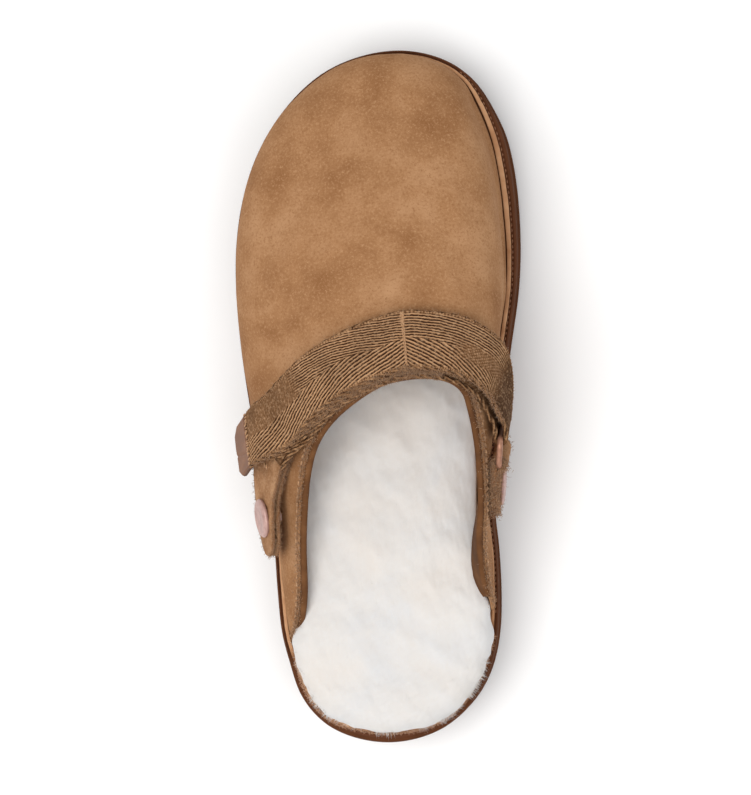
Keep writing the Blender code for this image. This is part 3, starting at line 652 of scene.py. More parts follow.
def on_floor(points):
    return points * np.array((1.0, 1.0, 0.0))


def upward(count):
    return np.tile((0.0, 0.0, 1.0), (count, 1))


def points_at(spots, lengths, points):
    """Points of a line at some lengths along it."""
    return np.stack([np.interp(spots, lengths, points[:, axis]) for axis in range(3)], axis=1)


def line_lengths(points):
    return np.concatenate([[0.0], np.cumsum(np.linalg.norm(np.diff(points, axis=0), axis=1))])


def arc_lengths(grid):
    steps = np.linalg.norm(np.diff(grid, axis=1), axis=2)
    return np.concatenate([np.zeros((len(grid), 1)), np.cumsum(steps, axis=1)], axis=1)


def sample_rows(lengths, values, places):
    """Values of each row at its own places, between the row's samples."""
    return np.stack([points_at(*row) for row in zip(places, lengths, values)])


def tubes(name, starts, ways, sides, lengths, radii, material, facets=5, bend=0.0, tones=None, steps=3):
    """Many short rods with rounded ends in one mesh: stitches, fibres and locks."""
    starts, ways, sides = (np.asarray(v, float) for v in (starts, ways, sides))
    ways = unit(ways)
    sides = unit(sides - ways * np.sum(sides * ways, axis=1, keepdims=True))
    thirds = np.cross(ways, sides)
    count = len(starts)
    lengths = np.broadcast_to(np.asarray(lengths, float), (count,))
    radii = np.broadcast_to(np.asarray(radii, float), (count,))
    bends = np.broadcast_to(np.asarray(bend, float), (count,))
    shares = np.linspace(0.0, 1.0, steps + 1)
    swell = np.sqrt(np.clip(1.0 - (2.0 * shares - 1.0) ** 4, 0.04, 1.0))
    turns = circle(facets)
    grid = np.zeros((count, steps + 1, facets, 3))
    for k, share in enumerate(shares):
        middle = starts + ways * (lengths * share)[:, None]
        middle = middle + sides * (bends * lengths * 4.0 * share * (1.0 - share))[:, None]
        for j, turn in enumerate(turns):
            out = sides * math.cos(turn) + thirds * math.sin(turn)
            grid[:, k, j] = middle + out * (radii * swell[k])[:, None]
    block = np.array(grid_faces(steps + 1, facets, False, True))
    size = (steps + 1) * facets
    faces = (block[None] + (np.arange(count) * size)[:, None, None]).reshape(-1, 4).tolist()
    first = np.arange(facets)[::-1]
    last = np.arange(facets) + steps * facets
    for k in range(count):
        faces.append((first + k * size).tolist())
        faces.append((last + k * size).tolist())
    attributes = {"tone": np.repeat(tones, size)} if tones is not None else None
    return show_mesh(name, grid, faces, material, attributes)


def hairs(name, roots, ways, drifts, lengths, width, material, tones=None, steps=2):
    """Many fine tapering hairs in one mesh, each a thin three-sided spike that bows along its drift."""
    count = len(roots)
    ways = unit(np.asarray(ways, float))
    drifts = np.asarray(drifts, float)
    lengths = np.broadcast_to(np.asarray(lengths, float), (count,))
    side = unit(np.cross(ways, drifts + 1e-9 + rng.normal(0.0, 0.1, (count, 3))))
    third = np.cross(ways, side)
    rows = []
    for k in range(steps):
        share = k / steps
        middle = roots + (ways * share + drifts * share ** 2) * lengths[:, None]
        for turn in (0.0, 2.094, 4.189):
            out = side * math.cos(turn) + third * math.sin(turn)
            rows.append(middle + out * width * (1.0 - 0.6 * share))
    rows.append(roots + (ways + drifts) * lengths[:, None])
    points = np.stack(rows, axis=1)
    size = points.shape[1]
    block = []
    for k in range(steps - 1):
        for j in range(3):
            a, b = k * 3 + j, k * 3 + (j + 1) % 3
            block += [(a, b, b + 3), (a, b + 3, a + 3)]
    tip = steps * 3
    for j in range(3):
        block.append((tip - 3 + j, tip - 3 + (j + 1) % 3, tip))
    block = np.array(block)
    faces = (block[None] + (np.arange(count) * size)[:, None, None]).reshape(-1, 3).tolist()
    attributes = {"tone": np.repeat(tones, size)} if tones is not None else None
    return show_mesh(name, points, faces, material, attributes)


def soft_noise(points, size, seed=0, octaves=3):
    """Smooth value in about -1..1 at each point from a few turned waves, one set for each octave."""
    points = np.asarray(points, float)
    draw = np.random.default_rng(seed)
    total = np.zeros(points.shape[:-1])
    weight = 0.0
    for octave in range(octaves):
        scale = 2.0 * math.pi / (size / 1.9 ** octave)
        level = 0.6 ** octave
        for _ in range(5):
            way = unit(draw.normal(size=3))
            twist = unit(draw.normal(size=3))
            phase = draw.uniform(0.0, 2.0 * math.pi, 2)
            swing = np.sin(points @ twist * scale * 0.57 + phase[1])
            total += level * np.sin(points @ way * scale + phase[0] + 1.3 * swing)
        weight += level * 5.0 ** 0.5
    return total / weight


# Materials


class Finish:
    """Material whose nodes are laid out in code; its places are in metres."""

    def __init__(self, name, roughness=0.6, metallic=0.0, **shader_values):
        self.material = bpy.data.materials.new(name)
        self.material.use_nodes = True
        self.tree = self.material.node_tree
        self.shader = self.tree.nodes["Principled BSDF"]
        self.shader.inputs["Roughness"].default_value = roughness
        self.shader.inputs["Metallic"].default_value = metallic
        for key, value in shader_values.items():
            self.shader.inputs[key.replace("_", " ")].default_value = value
        self.place = self.tree.nodes.new("ShaderNodeTexCoord").outputs["Object"]
        self.relief = None

    def link(self, source, target):
        self.tree.links.new(source, target)

    def noise(self, size, detail=3.0, roughness=0.55, stretch=None, distortion=0.0):
        """Noise with blobs of about that size in metres."""
        place = self.place
        if stretch is not None:
            mapping = self.tree.nodes.new("ShaderNodeMapping")
            mapping.inputs["Scale"].default_value = stretch
            self.link(place, mapping.inputs["Vector"])
            place = mapping.outputs["Vector"]
        texture = self.tree.nodes.new("ShaderNodeTexNoise")
        self.link(place, texture.inputs["Vector"])
        texture.inputs["Scale"].default_value = 1.0 / size
        texture.inputs["Detail"].default_value = detail
        texture.inputs["Roughness"].default_value = roughness
        texture.inputs["Distortion"].default_value = distortion
        return texture.outputs["Fac"]

    def cells(self, size, feature="F1"):
        texture = self.tree.nodes.new("ShaderNodeTexVoronoi")
        texture.feature = feature
        self.link(self.place, texture.inputs["Vector"])
        texture.inputs["Scale"].default_value = 1.0 / size
        return texture.outputs["Distance"]

    def value(self, name):
        node = self.tree.nodes.new("ShaderNodeAttribute")
        node.attribute_name = name
        return node.outputs["Fac"]

    def ramp(self, source, *stops):
        """Colours by value; a stop is a place and a colour in linear light."""
        node = self.tree.nodes.new("ShaderNodeValToRGB")
        ramp = node.color_ramp
        while len(ramp.elements) < len(stops):
            ramp.elements.new(0.5)
        for element, (place, colour) in zip(ramp.elements, stops):
            element.position = place
            element.color = (*colour, 1.0)
        self.link(source, node.inputs["Fac"])
        return node.outputs["Color"]

    def mix(self, share, one, two, kind="MIX"):
        """Colour two laid over colour one; share is a number or a socket."""
        node = self.tree.nodes.new("ShaderNodeMix")
        node.data_type = "RGBA"
        node.blend_type = kind
        for key, value in (("Factor", share), ("A", one), ("B", two)):
            socket = [s for s in node.inputs if s.name == key and s.enabled][0]
            if isinstance(value, (int, float)):
                socket.default_value = value
            elif isinstance(value, tuple):
                socket.default_value = (*value, 1.0)
            else:
                self.link(value, socket)
        return [s for s in node.outputs if s.enabled][0]

    def level(self, source, low, high, start=0.0, end=1.0):
        node = self.tree.nodes.new("ShaderNodeMapRange")
        for key, value in (("From Min", start), ("From Max", end), ("To Min", low), ("To Max", high)):
            node.inputs[key].default_value = value
        self.link(source, node.inputs["Value"])
        return node.outputs["Result"]

    def bump(self, source, strength, depth):
        """Relief added over what is there already; depth is in metres."""
        node = self.tree.nodes.new("ShaderNodeBump")
        node.inputs["Strength"].default_value = strength
        node.inputs["Distance"].default_value = depth
        self.link(source, node.inputs["Height"])
        if self.relief is not None:
            self.link(self.relief, node.inputs["Normal"])
        self.relief = node.outputs["Normal"]
        self.link(self.relief, self.shader.inputs["Normal"])

    def colour(self, source):
        self.link(source, self.shader.inputs["Base Color"])

    def rough(self, source):
        self.link(source, self.shader.inputs["Roughness"])


def tint(red, green, blue):
    """Linear colour from a screen colour of 0 to 255."""
    return tuple(
        c / 12.92 if c <= 0.04045 else ((c + 0.055) / 1.055) ** 2.4
        for c in (red / 255.0, green / 255.0, blue / 255.0)
    )


def tints(*colours):
    return [tint(*colour) for colour in colours]


# Painted shade colour: the dark brown mixed into the suede at the upper's foot crease and on the tabs' sides
# and underside
SUEDE_PAINTED_SHADE = tint(92, 54, 28)
SOLE_LIP_COLOUR = tint(92, 55, 35)


def suede_finish(name, base, dark, light, cloud=0.022):
    """Brushed nap: wide soft clouds, smudges, fine pale fibres and painted shade at the foot, mixed in where
    the edge value rises.
    """
    base, dark, light = tints(base, dark, light)
    finish = Finish(name, roughness=0.95, Sheen_Weight=0.10, Sheen_Roughness=0.5,
                    Sheen_Tint=(*light, 1.0), Specular_IOR_Level=0.15)
    clouds = finish.noise(cloud, 3.0, 0.5, distortion=0.25)
    body = finish.ramp(clouds, (0.28, dark), (0.50, base), (0.72, light))
    smudge = finish.noise(0.0050, 3.0, 0.6)
    body = finish.mix(finish.level(smudge, 0.0, 0.35, 0.48, 0.78), body, dark)
    speckle = finish.noise(0.0010, 4.0, 0.8)
    body = finish.mix(finish.level(speckle, 0.0, 0.85, 0.52, 0.66), body, light)
    body = finish.mix(finish.level(speckle, 0.75, 0.0, 0.34, 0.47), body, dark)
    # Painted shade: the edge value darkens the nap towards the painted shade colour
    edge = finish.value("edge")
    body = finish.mix(finish.level(edge, 0.0, 0.9), body, SUEDE_PAINTED_SHADE)
    finish.colour(body)
    finish.bump(finish.noise(0.0008, 4.0, 0.7), 0.45, 0.0003)
    finish.bump(smudge, 0.20, 0.0004)
    return finish.material


def leather_finish(name, base, dark, light, roughness=0.55):
    base, dark, light = tints(base, dark, light)
    finish = Finish(name, roughness=roughness, Specular_IOR_Level=0.15)
    patches = finish.noise(0.009, 3.0, 0.55)
    body = finish.ramp(patches, (0.30, dark), (0.55, base), (0.75, light))
    finish.colour(finish.mix(finish.value("heel"), body, SOLE_LIP_COLOUR))
    grain = finish.cells(0.0009)
    finish.bump(grain, 0.15, 0.0002)
    finish.bump(patches, 0.2, 0.0005)
    finish.rough(finish.level(patches, roughness - 0.08, roughness + 0.1))
    return finish.material


def rubber_finish(name, base, dark, light):
    base, dark, light = tints(base, dark, light)
    finish = Finish(name, roughness=0.80, Specular_IOR_Level=0.03)
    patches = finish.noise(0.016, 4.0, 0.6)
    body = finish.ramp(patches, (0.32, dark), (0.55, base), (0.75, light))
    finish.colour(body)
    fine = finish.noise(0.0007, 3.0, 0.6)
    finish.bump(fine, 0.12, 0.0001)
    finish.rough(finish.level(patches, 0.72, 0.88))
    return finish.material


def thread_finish(name, base, dark):
    base, dark = tints(base, dark)
    finish = Finish(name, roughness=0.85, Sheen_Weight=0.2)
    fibre = finish.noise(0.0005, 2.0, 0.6)
    tone = finish.value("tone")
    body = finish.ramp(fibre, (0.35, dark), (0.65, base))
    finish.colour(finish.mix(finish.level(tone, 0.0, 0.7), body, dark))
    finish.bump(fibre, 0.4, 0.0002)
    return finish.material


def webbing_finish(name, groove, base, rib, pale):
    """Woven tape: the rib value lies 0 in the grooves and 1 on the ribs' backs, and the colour ramp on it
    paints shade into the grooves and light onto the ribs' backs.
    """
    groove, base, rib, pale = tints(groove, base, rib, pale)
    finish = Finish(name, roughness=0.92, Specular_IOR_Level=0.08)
    # Painted shade in the grooves and painted light on the ribs' backs, by the rib value
    height = finish.value("rib")
    body = finish.ramp(height, (0.12, groove), (0.50, base), (0.85, rib))
    slub = finish.noise(0.0011, 3.0, 0.65)
    body = finish.mix(finish.level(slub, 0.0, 0.75, 0.50, 0.78), body, pale)
    shade = finish.noise(0.012, 3.0, 0.5)
    body = finish.mix(finish.level(shade, 0.0, 0.35, 0.4, 0.8), body, groove)
    finish.colour(body)
    yarn = finish.noise(0.0006, 3.0, 0.6)
    finish.bump(yarn, 0.5, 0.0003)
    return finish.material


def fleece_finish(name, base, warm, cool, deep):
    base, warm, cool, deep = tints(base, warm, cool, deep)
    finish = Finish(name, roughness=1.0, Sheen_Weight=0.15, Specular_IOR_Level=0.15,
                    Subsurface_Weight=0.25, Subsurface_Radius=(0.004, 0.0036, 0.0032))
    patches = finish.noise(0.030, 3.0, 0.5, distortion=0.4)
    body = finish.ramp(patches, (0.30, cool), (0.50, base), (0.72, warm))
    # Painted shade: the depth value darkens the wool towards the deep colour in the pile's hollows and on its
    # hidden floor
    depth = finish.value("depth")
    body = finish.mix(finish.level(depth, 0.0, 0.5), body, deep)
    finish.colour(body)
    curl = finish.noise(0.0016, 4.0, 0.6, distortion=1.2)
    finish.bump(curl, 0.12, 0.0004)
    return finish.material


def metal_finish(name, base, worn, roughness, metallic):
    base, worn = tints(base, worn)
    finish = Finish(name, roughness=roughness, metallic=metallic)
    wear = finish.noise(0.0035, 4.0, 0.65)
    finish.colour(finish.ramp(wear, (0.35, worn), (0.60, base)))
    finish.rough(finish.level(wear, roughness - 0.08, roughness + 0.15))
    finish.bump(finish.noise(0.0005, 2.0, 0.5), 0.08, 0.0001)
    return finish.material


SUEDE = suede_finish("suede_vamp", (159, 116, 79), (136, 93, 58), (177, 135, 98))
TAB_SUEDE = suede_finish("suede_tabs", (162, 120, 85), (130, 90, 57), (186, 146, 110), 0.012)
FACING = leather_finish("facing_leather", (102, 66, 37), (82, 51, 28), (122, 83, 51), 0.75)
RUBBER = rubber_finish("sole_rubber", (92, 56, 36), (83, 50, 32), (102, 64, 42))
FLANGE = leather_finish("welt_leather", (190, 144, 106), (166, 118, 82), (206, 164, 128), 0.75)
SKIN = suede_finish("insole_skin", (176, 136, 106), (142, 102, 74), (208, 172, 140), 0.008)
THREAD = thread_finish("thread_tan", (206, 164, 122), (150, 106, 68))
SOLE_THREAD = thread_finish("thread_sole", (164, 112, 76), (112, 68, 42))
SKIN_FUZZ = thread_finish("skin_fuzz", (222, 180, 146), (176, 126, 90))
FUZZ = thread_finish("suede_fuzz", (196, 154, 114), (126, 88, 56))
# Webbing colours groove, base, rib, pale: where the rib value follows the relief, groove is painted shade and
# rib is painted light
WEBBING = webbing_finish("webbing", (44, 25, 13), (120, 85, 56), (190, 148, 110), (200, 162, 126))
TAPE_EDGE = webbing_finish("webbing_edge", (48, 29, 16), (108, 75, 48), (156, 118, 84), (192, 156, 120))
HOOKS = webbing_finish("closure_hooks", (50, 31, 18), (98, 68, 44), (140, 104, 73), (170, 136, 104))
LABEL = leather_finish("label_patch", (128, 89, 65), (113, 77, 56), (141, 102, 77), 0.5)
ROSE = metal_finish("rose_metal", (184, 136, 112), (150, 106, 84), 0.42, 0.5)
CAP = metal_finish("cap_lacquer", (190, 155, 146), (160, 124, 116), 0.42, 0.2)
# The fourth colour, deep, is the painted shade of the pile's hollows
WOOL = fleece_finish("fleece_wool", (216, 213, 210), (218, 212, 206), (211, 211, 212), (200, 194, 188))


# Sole, welt, insole board and fleece

# Places round the sole: 0 at the heel, 1 at the toe, 2 at the heel again, HALF_AROUND of them a side
HALF_AROUND = 240
AROUND = np.arange(2 * HALF_AROUND) / HALF_AROUND
EDGE_POINTS = np.array([outline_point(a) for a in AROUND])
EDGE_WAYS = np.array([outline_normal(a) for a in AROUND])
EDGE_LEDGES = np.array([ledge(a) for a in AROUND])
SPOTS = np.linspace(place_of(0.0), place_of(1.0), 400)
TOPS = np.array([sole_top(y) for y in SPOTS])
BOTTOMS = np.array([sole_bottom(y) for y in SPOTS])


def top_at(y):
    return np.interp(y, SPOTS, TOPS)


def bottom_at(y):
    return np.interp(y, SPOTS, BOTTOMS)


def edge_ring(inset):
    """Points round the sole, moved in from its outline by as many metres as inset says."""
    return EDGE_POINTS - EDGE_WAYS * np.broadcast_to(inset, (len(AROUND),))[:, None]


def cap_faces(start, count, flip):
    """Faces across a ring whose two sides are paired about its heel and toe points."""
    faces = [(start, start + 1, start + count - 1)]
    half = count // 2
    for k in range(1, half - 1):
        faces.append((start + k, start + k + 1, start + count - k - 1, start + count - k))
    faces.append((start + half - 1, start + half, start + half + 1))
    return [face[::-1] for face in faces] if flip else faces


# Top of the sole from under the upper outwards. inset: share of the ledge; rise: metres over the sole's edge
SOLE_LIP = (
    (1.60, 0.0000),
    (1.00, 0.0000),
    (0.70, 0.0000),
    (0.66, -0.0002),
    (0.62, -0.0004),
    (0.56, -0.0005),
    (0.50, -0.0003),
    (0.46, 0.0000),
)


def make_sole():
    rings = []
    for inset, rise in SOLE_LIP:
        ring = edge_ring(EDGE_LEDGES * inset)
        ring[:, 2] = top_at(ring[:, 1]) + rise * (1.0 - HEEL_SHARES)
        rings.append(ring)
    inset_at = curve(range(len(SOLE_SIDE)), column(SOLE_SIDE, 0))
    down_at = curve(range(len(SOLE_SIDE)), column(SOLE_SIDE, 1), level=True)
    steps = 5
    for k in range((len(SOLE_SIDE) - 1) * steps + 1):
        ring = edge_ring(EDGE_LEDGES * max(inset_at(k / steps), 0.0))
        top, bottom = top_at(ring[:, 1]), bottom_at(ring[:, 1])
        ring[:, 2] = top + (bottom - top) * down_at(k / steps)
        rings.append(ring)
    grid = np.array(rings)
    rows, columns = grid.shape[:2]
    faces = grid_faces(rows, columns, False, True)
    faces += cap_faces(0, columns, flip=False)
    faces += cap_faces((rows - 1) * columns, columns, flip=True)
    sole = show_mesh("sole", grid, faces, RUBBER)
    cutter = make_tread_cutter()
    cut = sole.modifiers.new("tread", "BOOLEAN")
    cut.operation = "DIFFERENCE"
    cut.solver = "EXACT"
    cut.object = cutter
    bpy.context.view_layer.update()
    settled = bpy.data.meshes.new_from_object(sole.evaluated_get(bpy.context.evaluated_depsgraph_get()))
    sole.modifiers.clear()
    sole.data = settled
    settled.materials.clear()
    settled.materials.append(RUBBER)
    settled.shade_smooth()
    settled.set_sharp_from_angle(angle=math.radians(40.0))
    bpy.data.objects.remove(cutter, do_unlink=True)
    return sole


def make_tread_cutter():
    """Bowed grooves across the tread, between its lugs."""
    reach = BALL_WIDTH * TREAD_REACH_SHARE
    points = []
    faces = []
    steps = 24
    for along in TREAD_PLACES:
        start = len(points)
        for k in range(steps + 1):
            side = 2.0 * k / steps - 1.0
            y = place_of(along) + TREAD_BOW * (1.0 - side ** 2)
            roof = sole_bottom(y) + TREAD_DEPTH
            for shift in (-0.5, 0.5):
                for z in (-TREAD_DEPTH, roof):
                    points.append((side * reach, y + shift * TREAD_GROOVE, z))
        for k in range(steps):
            a = start + k * 4
            for one, two in ((0, 1), (1, 3), (3, 2), (2, 0)):
                faces.append((a + one, a + two, a + two + 4, a + one + 4)[::-1])
        end = start + steps * 4
        faces.append((start, start + 2, start + 3, start + 1)[::-1])
        faces.append((end, end + 1, end + 3, end + 2)[::-1])
    return show_mesh("tread_cutter", points, faces, RUBBER)


def heel_share(around):
    """1 round the open heel, falling to 0 where the upper's walls begin."""
    around = around % 2.0
    first, last = UPPER_RIBS[0][0], UPPER_RIBS[-1][0]
    from_end = first - around if around < 1.0 else around - last
    return ease((from_end - HEEL_LAG) / HEEL_RUN)


HEEL_SHARES = np.array([heel_share(a) for a in AROUND])


# Section of the welt from its inner foot over the top. inset: share of the ledge; rise: share of WELT_HEIGHT
WELT_SECTION = (
    (1.00, 0.00),
    (1.00, 0.70),
    (0.97, 0.95),
    (0.91, 1.02),
    (0.82, 1.00),
    (0.74, 0.96),
    (0.69, 0.86),
    (0.665, 0.62),
    (0.66, 0.30),
    (0.67, 0.00),
)


def make_welt():
    rows = []
    wander = soft_noise(EDGE_POINTS, 0.006, seed=3)
    for inset, rise in WELT_SECTION:
        loose = 0.02 * wander * (1.0 if inset < 0.95 else 0.0)
        ring = edge_ring(EDGE_LEDGES * (inset + loose) - (GAP if inset == 1.0 else 0.0))
        high = WELT_HEIGHT * rise * (1.0 + 0.06 * wander)
        worn = WELT_HEIGHT * 0.12 * rise
        ring[:, 2] = top_at(ring[:, 1]) + GAP + high + (worn - high) * HEEL_SHARES
        rows.append(ring)
    grid = np.array(rows).transpose(1, 0, 2)
    heel = np.repeat(HEEL_SHARES, len(WELT_SECTION))
    return loop_grid("welt_flange", grid, FLANGE, closed_rows=True, attributes={"heel": heel})


STITCH_PITCH = 0.0029
WELT_STITCH_INSET = 0.56
WELT_STITCH_START = 1.10


def along_line(points, pitch):
    """Places spaced evenly along a line, with the line's direction at each."""
    lengths = line_lengths(points)
    count = max(int(lengths[-1] / pitch), 1)
    spots = (np.arange(count) + 0.5) * lengths[-1] / count
    reach = pitch * 0.3
    places, ahead, behind = (points_at(spots + shift, lengths, points) for shift in (0.0, reach, -reach))
    return places, unit(ahead - behind), spots / lengths[-1]


def stitch_row(name, line, ups, length, radius, pitch=STITCH_PITCH, lift=0.0, material=THREAD):
    """Row of stitches along a line; ups are the outward directions along it."""
    places, ways, shares = along_line(line, pitch)
    index = np.clip((shares * (len(line) - 1)).astype(int), 0, len(line) - 1)
    outs = unit(ups[index])
    sides = np.cross(outs, ways)
    count = len(places)
    ways = unit(ways + sides * rng.normal(0.0, 0.06, count)[:, None])
    lengths = length * rng.uniform(0.88, 1.08, count)
    starts = places - ways * (lengths / 2.0)[:, None] + outs * lift
    tones = rng.uniform(0.0, 0.5, count)
    return tubes(name, starts, ways, outs, lengths, radius * rng.uniform(0.9, 1.1, count),
                 material, bend=0.06, tones=tones)


def make_welt_stitches():
    """Stitches along the sole's edge, from the toe to the medial wall's end."""
    rows = np.nonzero((AROUND > WELT_STITCH_START) & (HEEL_SHARES < 0.02))[0]
    line = edge_ring(EDGE_LEDGES * WELT_STITCH_INSET)[rows]
    line[:, 2] = top_at(line[:, 1]) - 0.0003
    ups = upward(len(line))
    return stitch_row("welt_stitches", line, ups, 0.0014, 0.00028, 0.0021, material=SOLE_THREAD)


# How far the fleece and its skin reach past the footbed's ring round the heel:
# (way round from the very back, medial side negative, then metres for fleece and skin)
OVERHANGS = (
    (-0.42, 0.0026, 0.0022),
    (-0.28, 0.0026, 0.0022),
    (-0.20, 0.0014, 0.0012),
    (-0.13, 0.0008, 0.0010),
    (-0.06, 0.0009, 0.0017),
    (0.00, 0.0016, 0.0023),
    (0.06, 0.0004, 0.0015),
    (0.12, 0.0001, 0.0012),
    (0.20, 0.0002, 0.0011),
    (0.28, 0.0012, 0.0012),
    (0.42, 0.0014, 0.0012),
)
# How far under the ends of the walls the fleece opens out, in turns of the outline
FUR_EARLY = 0.026
FUR_EARLY_MEDIAL = 0.034


def overhang(column_at):
    signed = np.where(AROUND < 1.0, AROUND, AROUND - 2.0)
    return np.interp(signed, column(OVERHANGS, 0), column(OVERHANGS, column_at))


def wide_insets(clearance):
    """Insets that open out already under the ends of the walls, where the fleece swells round them."""
    first, last = UPPER_RIBS[0][0], UPPER_RIBS[-1][0]
    past = np.where(AROUND < 1.0, first - AROUND, AROUND - last)
    early = np.where(AROUND < 1.0, FUR_EARLY, FUR_EARLY_MEDIAL)
    open_share = np.array([ease((p + e) / HEEL_RUN) for p, e in zip(past, early)])
    back = np.array([BACK_INSET * (1.0 - ease(abs((a + 1.0) % 2.0 - 1.0) / BACK_RUN)) for a in AROUND])
    return EDGE_LEDGES + GAP + back + (WALL + clearance) * (1.0 - open_share)


def make_insole():
    """Skin of the footbed; its raw edge shows round the heel."""
    rows = []
    ragged = soft_noise(EDGE_POINTS, 0.0035, seed=11, octaves=4)
    section = ((0.006, 0.0), (0.0, 0.0), (-0.0002, 0.5), (0.0, 0.85), (0.0006, 1.0), (0.006, 1.0))
    past = overhang(2)
    for shrink, rise in section:
        ring = edge_ring(wide_insets(BOARD_CLEARANCE) + shrink + (0.0004 * ragged - past) * HEEL_SHARES)
        ring[:, 2] = top_at(ring[:, 1]) + GAP + BOARD_THICK * rise
        rows.append(ring)
    grid = np.array(rows)
    rows_count, columns = grid.shape[:2]
    faces = grid_faces(rows_count, columns, False, True, flip=True)
    faces += cap_faces(0, columns, flip=True)
    faces += cap_faces((rows_count - 1) * columns, columns, flip=False)
    return show_mesh("footbed_skin", grid, faces, SKIN, {"edge": np.zeros(rows_count * columns)})


# Points of one hair of two steps
HAIR_POINTS = 7
FUR_ROWS = 330
FUR_COLUMNS = 120
FUR_CLEARANCE = 0.0006


def fur_outline():
    """Lateral and medial edges of the fleece for rows from the heel to the toe."""
    wander = 0.0004 * soft_noise(EDGE_POINTS, 0.006, seed=24, octaves=3)
    inset = wide_insets(FUR_CLEARANCE) + (wander - overhang(1)) * HEEL_SHARES
    ring = edge_ring(inset)
    ring[:, 2] = top_at(ring[:, 1]) + BOARD_THICK + 2.0 * GAP
    turns = (np.arange(FUR_ROWS) + 0.5) / FUR_ROWS
    index = turns * HALF_AROUND
    lateral = points_at(index, np.arange(HALF_AROUND + 1), ring[:HALF_AROUND + 1])
    back = np.concatenate([ring[HALF_AROUND:], ring[:1]])[::-1]
    medial = points_at(index, np.arange(HALF_AROUND + 1), back)
    return lateral, medial


# Where the pile stops rounding off and starts to stand against the walls, metres along the shoe
WALLS_START = 0.004
WALLS_RUN = 0.030


def fur_height(points, edge):
    """Height of the pile over the board: full in the middle, rounded off at its edge, in soft clumps."""
    rim = np.clip(edge / 0.0085, 0.0, 1.0)
    full = np.sqrt(1.0 - (1.0 - rim) ** 2)
    flat = on_floor(points)
    swells = 0.0009 * soft_noise(flat, 0.034, seed=21, octaves=2)
    clumps = 0.00034 * soft_noise(flat, 0.0110, seed=22, octaves=3)
    curls = 0.00008 * soft_noise(flat, 0.0026, seed=23, octaves=3)
    walled = np.clip((points[:, 1] - WALLS_START) / WALLS_RUN, 0.0, 1.0)
    low = 0.12 + 0.60 * walled * walled * (3.0 - 2.0 * walled)
    high = FLEECE_DEPTH * (low + (1.0 - low) * full)
    return high + (swells + clumps + curls) * np.minimum(full * 2.0, 1.0), clumps, curls


def fur_surface():
    lateral, medial = fur_outline()
    shares = 0.5 - 0.5 * np.cos(np.linspace(0.0, math.pi, FUR_COLUMNS))
    shares = 0.5 * shares + 0.5 * np.linspace(0.0, 1.0, FUR_COLUMNS)
    grid = lateral[:, None] + (medial - lateral)[:, None] * shares[None, :, None]
    flat = grid.reshape(-1, 3)
    ring = np.concatenate([lateral, medial[::-1]])
    starts, ends = ring, np.roll(ring, -1, 0)
    edge = np.full(len(flat), 1.0)
    for a, b in zip(starts[:, :2], ends[:, :2]):
        way = b - a
        length = way @ way
        if length < 1e-14:
            continue
        share = np.clip(((flat[:, :2] - a) @ way) / length, 0.0, 1.0)
        edge = np.minimum(edge, np.linalg.norm(flat[:, :2] - a - share[:, None] * way, axis=1))
    height, clumps, curls = fur_height(flat, edge)
    grid = grid.copy()
    grid[..., 2] += height.reshape(grid.shape[:2])
    # Painted shade value: it rises where the clumps and curls dip, darkening the wool in the hollows
    depth = np.clip(0.35 - clumps / 0.0007 * 0.45 - curls / 0.0003 * 0.25, 0.0, 1.0)
    return grid, depth.reshape(grid.shape[:2]), edge.reshape(grid.shape[:2])


FUR_GRID, FUR_PAINTED_SHADE, FUR_EDGES = fur_surface()


def make_fleece():
    lateral, medial = fur_outline()
    floor = lateral[:, None] + (medial - lateral)[:, None] * np.linspace(1.0, 0.0, 6)[None, :, None]
    grid = np.concatenate([FUR_GRID, floor], axis=1)
    # Painted shade: the pile's floor takes the full deep colour
    painted_shades = np.concatenate([FUR_PAINTED_SHADE, np.ones(floor.shape[:2])], axis=1)
    return loop_grid("fleece_pile", grid, WOOL, flip=False, attributes={"depth": painted_shades})


def fur_roots(count, low, high, near_edge=None):
    """Random places on the pile between two distances along the shoe, with the pile's directions."""
    ways = grid_ways(FUR_GRID)
    ways = np.where(ways[..., 2:3] < 0.0, -ways, ways)
    rows, columns = FUR_GRID.shape[:2]
    across = np.linalg.norm(FUR_GRID[:, -1] - FUR_GRID[:, 0], axis=1)
    steps = np.gradient(FUR_GRID[:, columns // 2, 1])
    spots = FUR_GRID[:, columns // 2, 1]
    weight = across * np.abs(steps) * ((spots > low) & (spots < high))
    picks = rng.choice(rows, size=count * 4, p=weight / weight.sum())
    shares = rng.uniform(0.0, columns - 1.001, count * 4)
    left = shares.astype(int)
    part = (shares - left)[:, None]
    spread = np.clip(picks + rng.uniform(-0.5, 0.5, count * 4), 0, rows - 1.001)
    row = spread.astype(int)
    lean = (spread - row)[:, None]

    def take(values):
        one = values[row, left] * (1.0 - part) + values[row, left + 1] * part
        two = values[row + 1, left] * (1.0 - part) + values[row + 1, left + 1] * part
        return one * (1.0 - lean) + two * lean

    gaps = np.linalg.norm(FUR_GRID[row, left + 1] - FUR_GRID[row, left], axis=1) / (across[row] + 1e-9)
    keep = rng.uniform(0.0, 1.0, count * 4) < gaps / gaps.max()
    edges = take(FUR_EDGES[..., None])[:, 0]
    if near_edge is not None:
        keep &= edges < near_edge
    keep = np.nonzero(keep)[0][:count]
    return take(FUR_GRID)[keep], unit(take(ways))[keep], take(FUR_PAINTED_SHADE[..., None])[keep, 0], edges[keep]


def swirl(points, size, seed):
    """Smooth directions over the floor plan, for the lie of the pile."""
    flat = on_floor(points)
    angle = math.pi * 1.4 * soft_noise(flat, size, seed=seed, octaves=2)
    return np.stack([np.cos(angle), np.sin(angle), np.zeros(len(points))], axis=1)


